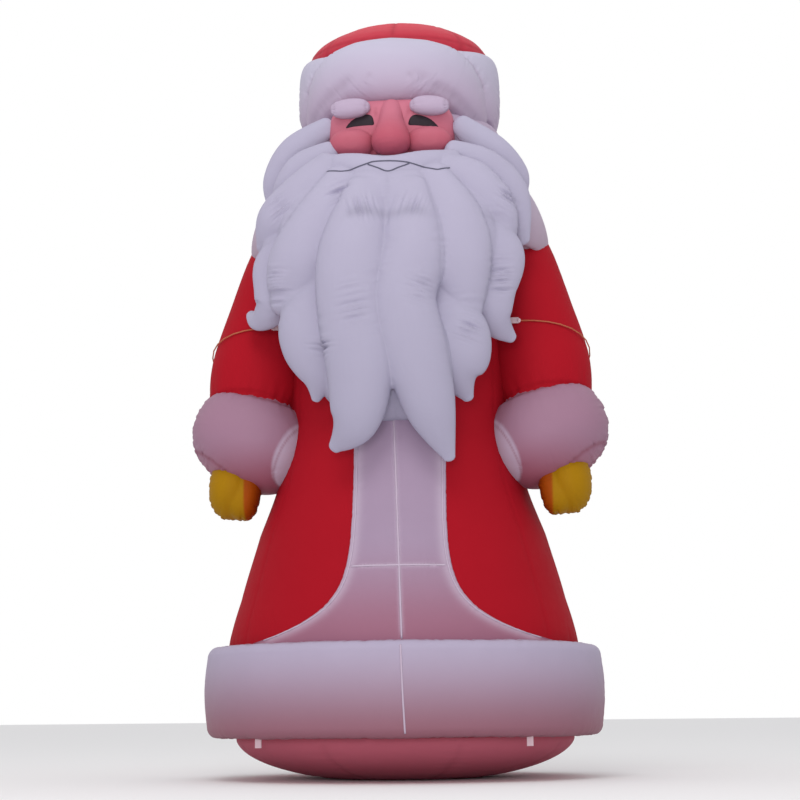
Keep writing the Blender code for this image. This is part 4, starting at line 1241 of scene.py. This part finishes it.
def pucker_beard(mesh, lines):
    """Wrinkles across the creases between the locks, strongest where two locks meet, and painted shade in the creases.
    """
    spots = []
    for lock, line in enumerate(lines):
        for step in range(61):
            x, y, z, radius = smooth_between(line, (len(line) - 1) * step / 60)
            spots.append((place((x, y, z)), metres(max(radius, 0.3)), lock))
    tree = nearest_tree([point for point, _, _ in spots])
    seam = mesh.attributes.new("seam", "FLOAT", "POINT")
    normals = [vert.normal.copy() for vert in mesh.vertices]
    for vert, normal in zip(mesh.vertices, normals):
        best = {}
        for point, index, distance in tree.find_n(vert.co, 24):
            _, radius, lock = spots[index]
            away = distance - radius
            if lock not in best or away < best[lock]:
                best[lock] = away
        ranked = sorted(best.values())
        split = ranked[1] - ranked[0] if len(ranked) > 1 else 1.0
        crease = math.exp(-split / 0.05)
        spot = vert.co
        wrinkle = noise.noise(Vector((spot.x * 4, spot.y * 4, spot.z * 13)))
        patchy = max(0.0, min(1.0, 0.5 + 1.6 * noise.noise(spot * 1.7)))
        wrinkle = 1 - 2 * abs(wrinkle)
        fade = math.exp(-split / 0.09) * (1 - 0.8 * crease)
        vert.co += normal * (0.022 * patchy * fade * (wrinkle - 0.5) - 0.008 * crease)
        # Painted shade in the creases between the locks.
        seam.data[vert.index].value = crease * 0.35
    mesh.update()


# Arms

def make_arms():
    """Sleeves, big round cuffs and mittens, drawn in where they meet."""
    sleeve = skin("sleeve", tube_loops(SLEEVE_LINE, 110, 150))
    ripple(sleeve, 0.012, 0.6, 3.0)
    tree = tree_of(sleeve)
    seams = [
        snapped_ring(tree, (18.8, -4.2, 46.4), 5.8, (0.1, -0.25, -1)),
        dense(snapped(tree, [place((x + r * 0.9, y + r * 0.4, z)) for x, y, z, r in SLEEVE_LINE])),
    ]
    gather(sleeve, seams, depth=0.010, reach=0.025, pleat=0.008, spread=0.16, seed=15.0)
    cuff = skin("cuff", pillow_loops(*CUFF, rows=150, sides=220))
    tree = tree_of(cuff)
    outer, inner = (Vector(way).normalized() for way in ((0.70, -0.12, -0.70), (-0.86, -0.30, -0.42)))
    centre = Vector(CUFF[0])
    top = snapped_ring(tree, (18.4, -4.4, 46.8), 5.4, (0.35, -0.1, -1))
    gather(cuff, [top], depth=0.03, reach=0.05, pleat=0.014, spread=0.16, spacing=0.09, seed=16.0)
    slant = math.radians(CUFF[3][1])
    rim = []
    for step in range(61):
        a = math.radians(-112 + 172 * step / 60)
        x, z = 7.9 * math.cos(a), 6.3 * math.sin(a)
        rim.append(place((centre.x + x * math.cos(slant) + z * math.sin(slant), centre.y - 0.4,
                          centre.z - x * math.sin(slant) + z * math.cos(slant))))
    gather(cuff, [dense(snapped(tree, rim))], depth=0.008, reach=0.020, pleat=0.026, spread=0.20, spacing=0.045,
           seed=17.0)
    mouth = snapped_ring(tree, centre + outer * 6.3, 4.0, outer)
    gather(cuff, [mouth], depth=0.004, reach=0.03, pleat=0.012, spread=0.10, spacing=0.05, seed=24.0)
    end = snapped_ring(tree, centre + inner * 6.2, 3.9, inner)
    gather(cuff, [end], depth=0.003, reach=0.014, pleat=0.005, spread=0.08, spacing=0.06, seed=18.0)
    mark(cuff, lambda spot: (spot / SHARE - centre).dot(inner) - 6.2)
    mitten = blown_up("mitten", [skin("hand", pillow_loops(*MITTEN)), skin("thumb", pillow_loops(*THUMB))],
                      sizes().voxel * 0.7, 16)
    middle = Vector(MITTEN[0])
    tree = tree_of(mitten)
    palm = dense(snapped(tree, [place((21.1 + 3.05 * math.cos(a), -5.6, 36.5 + 4.5 * math.sin(a)))
                                for a in (2 * math.pi * k / 60 for k in range(60))]), closed=True)
    gather(mitten, [palm], depth=0.006, reach=0.02, pleat=0.018, spread=0.17, spacing=0.04, seed=19.0)
    # The mitten's thumb side is marked for painted shade.
    mark(mitten, lambda spot: middle.x - 1.9 - spot.x / SHARE)
    # Painted shade and red glow: the cuffs' white is painted pink, darker lower down, and their marked end lighter.
    cuff_cloth = cloth("cuff_cloth", CUFF_HIGH, low=CUFF_PAINTED_SHADE, panel=CUFF_END, heights=(2.75, 3.35))
    mustard = colours().mustard
    # Painted shade: the mitten is darker lower down, at its seam and on its thumb side.
    mitten_cloth = cloth("mitten_cloth", mustard, low=darker(mustard, 0.9), panel=MITTEN_SIDE_SHADE,
                         seam=darker(mustard, 0.6), heights=(2.5, 3.1), roughness=0.5, specular=0.08)
    for name, mesh, material, slot in (
        ("sleeve", sleeve, robe_red(), "robe_cloth"),
        ("cuff", cuff, cuff_cloth, "cuff_cloth"),
        ("mitten", mitten, mitten_cloth, "mitten_cloth"),
    ):
        for side_name, copy in (("left", mesh.copy()), ("right", mirrored(mesh, name + "_right"))):
            node = f"{name}_{side_name}"
            add_piece(node + "_skin", copy, material, node)
        bpy.data.meshes.remove(mesh)


def mark(mesh, inside):
    """Stores where a panel of another colour lies, which the cloth paints in: the mitten's thumb side in painted
    shade, the cuff's end lighter. It is 1 where inside gives more than 0, fading over 2 cm.
    """
    panel = mesh.attributes.new("panel", "FLOAT", "POINT")
    for vert in mesh.vertices:
        panel.data[vert.index].value = max(0.0, min(1.0, 0.5 + inside(vert.co) * SHARE / 0.02))


def snapped_ring(tree, centre, radius, way):
    """A round seam about an axis, in percent, laid on a skin."""
    axis = Vector(way).normalized()
    across = axis.cross(Vector((0, 1, 0))).normalized()
    along = axis.cross(across)
    return dense(snapped(tree, [
        place(centre) + (across * math.cos(a) + along * math.sin(a)) * metres(radius)
        for a in (2 * math.pi * k / 72 for k in range(72))
    ]), closed=True)


# Ropes and webbing

def select_faces(piece, wanted):
    """Selects the faces of a piece that is in edit mode, where wanted says so of a face."""
    bm = bmesh.from_edit_mesh(piece.data)
    for face in bm.faces:
        face.select_set(wanted(face))
    bm.select_flush_mode()
    bmesh.update_edit_mesh(piece.data)


def make_tab(node):
    """A folded webbing tab: rounded edges, a sewn border and a pressed middle on both sides."""
    low, high = (Vector(corner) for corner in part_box(node))
    bpy.ops.object.select_all(action="DESELECT")
    bpy.ops.mesh.primitive_cube_add(size=1, location=(low + high) / 2)
    piece = bpy.context.object
    piece.name = node + "_webbing"
    piece.scale = high - low
    bpy.ops.object.transform_apply(location=True, rotation=True, scale=True)
    bpy.ops.object.mode_set(mode="EDIT")
    bpy.ops.mesh.select_mode(type="FACE")
    select_faces(piece, lambda face: abs(face.normal.y) > 0.9)
    for thickness, depth in ((0.007, -0.0015), (0.002, 0.0012), (0.012, -0.001)):
        bpy.ops.mesh.inset(thickness=thickness, depth=depth)
    bpy.ops.mesh.select_all(action="SELECT")
    bpy.ops.mesh.bevel(offset=0.0006, segments=2, affect="EDGES")
    bpy.ops.object.mode_set(mode="OBJECT")
    bpy.ops.object.shade_smooth_by_angle(angle=math.radians(40))
    piece.data.materials.clear()
    piece.data.materials.append(webbing_material())
    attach(piece, BODY)
    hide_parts(node)


def make_ropes():
    """The webbing tabs under the hem band, and better finishes for the ropes and their knotted anchors."""
    for name in [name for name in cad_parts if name.startswith("hem_tab")]:
        make_tab(name)
    for name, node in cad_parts.items():
        if name.startswith("tie_cord"):
            material = rope_material()
        elif name.startswith("cord_anchor"):
            material = webbing_material()
        else:
            continue
        node.data.materials.clear()
        node.data.materials.append(material)


# Stage: the camera's angles in degrees, its distances in metres, its lens in millimetres

CAMERA_AZIMUTH = 5.0
CAMERA_PITCH = 10.8
CAMERA_ROLL = 0.55
CAMERA_DISTANCE = 17.0
CAMERA_HEIGHT = 0.6
CAMERA_SIDESTEP = -0.0205
CAMERA_LENS = 74.66
SKY_LOW, SKY_HIGH = (0.60, 0.58, 0.60, 1), (0.88, 0.88, 0.88, 1)


def make_camera():
    """A camera at the photograph's place, looking up at the figure."""
    turn, pitch, roll = (math.radians(v) for v in (CAMERA_AZIMUTH, CAMERA_PITCH, CAMERA_ROLL))
    right = Vector((math.cos(turn), math.sin(turn), 0))
    ahead = Vector((-math.sin(turn) * math.cos(pitch), math.cos(turn) * math.cos(pitch), math.sin(pitch)))
    up = right.cross(ahead)
    spot = Vector((CAMERA_DISTANCE * math.sin(turn), -CAMERA_DISTANCE * math.cos(turn), CAMERA_HEIGHT))
    spot += right * CAMERA_SIDESTEP
    rolled_right = right * math.cos(roll) - up * math.sin(roll)
    rolled_up = up * math.cos(roll) + right * math.sin(roll)
    data = bpy.data.cameras.new("camera")
    data.lens = CAMERA_LENS
    data.sensor_width = 36
    data.clip_end = 500
    camera = bpy.data.objects.new("camera", data)
    bpy.context.scene.collection.objects.link(camera)
    matrix = Matrix((rolled_right, rolled_up, -ahead)).transposed().to_4x4()
    camera.matrix_world = Matrix.Translation(spot) @ matrix
    bpy.context.scene.camera = camera


def make_stage():
    """A pale floor, a soft sky, two large soft lights and the camera."""
    bpy.ops.object.select_all(action="DESELECT")
    bpy.ops.mesh.primitive_plane_add(size=400)
    floor = bpy.context.object
    floor.name = "floor"
    pale = bpy.data.materials.new("floor_pale")
    pale.use_nodes = True
    shader = pale.node_tree.nodes["Principled BSDF"]
    shader.inputs["Base Color"].default_value = (0.86, 0.86, 0.87, 1)
    shader.inputs["Roughness"].default_value = 0.9
    floor.data.materials.append(pale)
    world = bpy.data.worlds.new("sky")
    bpy.context.scene.world = world
    world.use_nodes = True
    nodes, links = world.node_tree.nodes, world.node_tree.links
    back = nodes["Background"]
    where = nodes.new("ShaderNodeTexCoord")
    split = nodes.new("ShaderNodeSeparateXYZ")
    ramp = nodes.new("ShaderNodeValToRGB")
    seen = nodes.new("ShaderNodeLightPath")
    links.new(where.outputs["Generated"], split.inputs[0])
    links.new(split.outputs["Z"], ramp.inputs[0])
    for stop, position, colour in zip(ramp.color_ramp.elements, (0.0, 0.8), (SKY_LOW, SKY_HIGH)):
        stop.position, stop.color = position, colour
    plain = mix_colour(nodes, links, seen.outputs["Is Camera Ray"], ramp.outputs[0], (1.0, 1.0, 1.0, 1))
    links.new(plain, back.inputs["Color"])
    back.inputs["Strength"].default_value = 1.0
    bpy.context.scene.view_settings.view_transform = "Standard"
    for name, spot, size, power, colour in (
        ("key", (-1.5, -13, 17), 9.0, 800, (1.0, 0.98, 0.96)),
        ("bounce", (0, -20, 3.2), 6.0, 700, (1.0, 0.92, 0.95)),
    ):
        data = bpy.data.lights.new(name, "AREA")
        data.shape = "DISK"
        data.size = size
        data.energy = power
        data.color = colour
        lamp = bpy.data.objects.new(name, data)
        bpy.context.scene.collection.objects.link(lamp)
        lamp.location = spot
        way = Vector((0, 0, 4)) - Vector(spot)
        lamp.rotation_euler = way.to_track_quat("-Z", "Y").to_euler()
    make_camera()


class InflatableOperator:
    """What every piece's operator shares."""

    bl_options = {"REGISTER", "UNDO"}


class INFLATABLE_OT_stage(InflatableOperator, bpy.types.Operator):
    """Set the floor, the light and the camera"""

    bl_idname = "inflatable.stage"
    bl_label = "Stage"

    def execute(self, context):
        make_stage()
        return {"FINISHED"}


class INFLATABLE_OT_base(InflatableOperator, bpy.types.Operator):
    """Blow up the bowl that the figure stands on"""

    bl_idname = "inflatable.base"
    bl_label = "Base"

    def execute(self, context):
        make_base()
        return {"FINISHED"}


class INFLATABLE_OT_robe(InflatableOperator, bpy.types.Operator):
    """Blow up the robe, its hem band, its front panel and the collar"""

    bl_idname = "inflatable.robe"
    bl_label = "Robe"

    def execute(self, context):
        make_robe()
        make_hem()
        make_panel()
        make_collar()
        return {"FINISHED"}


class INFLATABLE_OT_head(InflatableOperator, bpy.types.Operator):
    """Blow up the head, the hat and the face"""

    bl_idname = "inflatable.head"
    bl_label = "Head"

    def execute(self, context):
        make_head()
        make_crown()
        make_trim()
        make_face()
        return {"FINISHED"}


class INFLATABLE_OT_beard(InflatableOperator, bpy.types.Operator):
    """Blow up the beard and draw the mouth's line on it"""

    bl_idname = "inflatable.beard"
    bl_label = "Beard"

    def execute(self, context):
        make_beard()
        return {"FINISHED"}


class INFLATABLE_OT_arms(InflatableOperator, bpy.types.Operator):
    """Blow up the sleeves, cuffs and mittens"""

    bl_idname = "inflatable.arms"
    bl_label = "Arms"

    def execute(self, context):
        make_arms()
        return {"FINISHED"}


class INFLATABLE_OT_ropes(InflatableOperator, bpy.types.Operator):
    """Finish the ropes, knots and webbing tabs"""

    bl_idname = "inflatable.ropes"
    bl_label = "Ropes and Tabs"

    def execute(self, context):
        make_ropes()
        return {"FINISHED"}


OPERATORS = (
    INFLATABLE_OT_stage,
    INFLATABLE_OT_base,
    INFLATABLE_OT_robe,
    INFLATABLE_OT_head,
    INFLATABLE_OT_beard,
    INFLATABLE_OT_arms,
    INFLATABLE_OT_ropes,
)


class INFLATABLE_PT_panel(bpy.types.Panel):
    """The figure's pieces, in sewing order"""

    bl_idname = "INFLATABLE_PT_panel"
    bl_label = "Inflatable Figure"
    bl_space_type = "VIEW_3D"
    bl_region_type = "UI"
    bl_category = "Inflatable"

    def draw(self, context):
        layout = self.layout
        for group in (context.scene.inflatable_sizes, context.scene.inflatable_colours):
            column = layout.column(align=True)
            for name in group.__annotations__:
                column.prop(group, name)
        for operator in OPERATORS:
            layout.operator(operator.bl_idname)


CLASSES = (INFLATABLE_PG_sizes, INFLATABLE_PG_colours, *OPERATORS, INFLATABLE_PT_panel)


def register():
    for entry in CLASSES:
        bpy.utils.register_class(entry)
    bpy.types.Scene.inflatable_sizes = bpy.props.PointerProperty(type=INFLATABLE_PG_sizes)
    bpy.types.Scene.inflatable_colours = bpy.props.PointerProperty(type=INFLATABLE_PG_colours)


def unregister():
    del bpy.types.Scene.inflatable_colours
    del bpy.types.Scene.inflatable_sizes
    for entry in reversed(CLASSES):
        bpy.utils.unregister_class(entry)


def main():
    register()
    bpy.ops.inflatable.stage()
    bpy.ops.inflatable.base()
    bpy.ops.inflatable.robe()
    bpy.ops.inflatable.head()
    bpy.ops.inflatable.beard()
    bpy.ops.inflatable.arms()
    bpy.ops.inflatable.ropes()


if __name__ == "__main__":
    main()
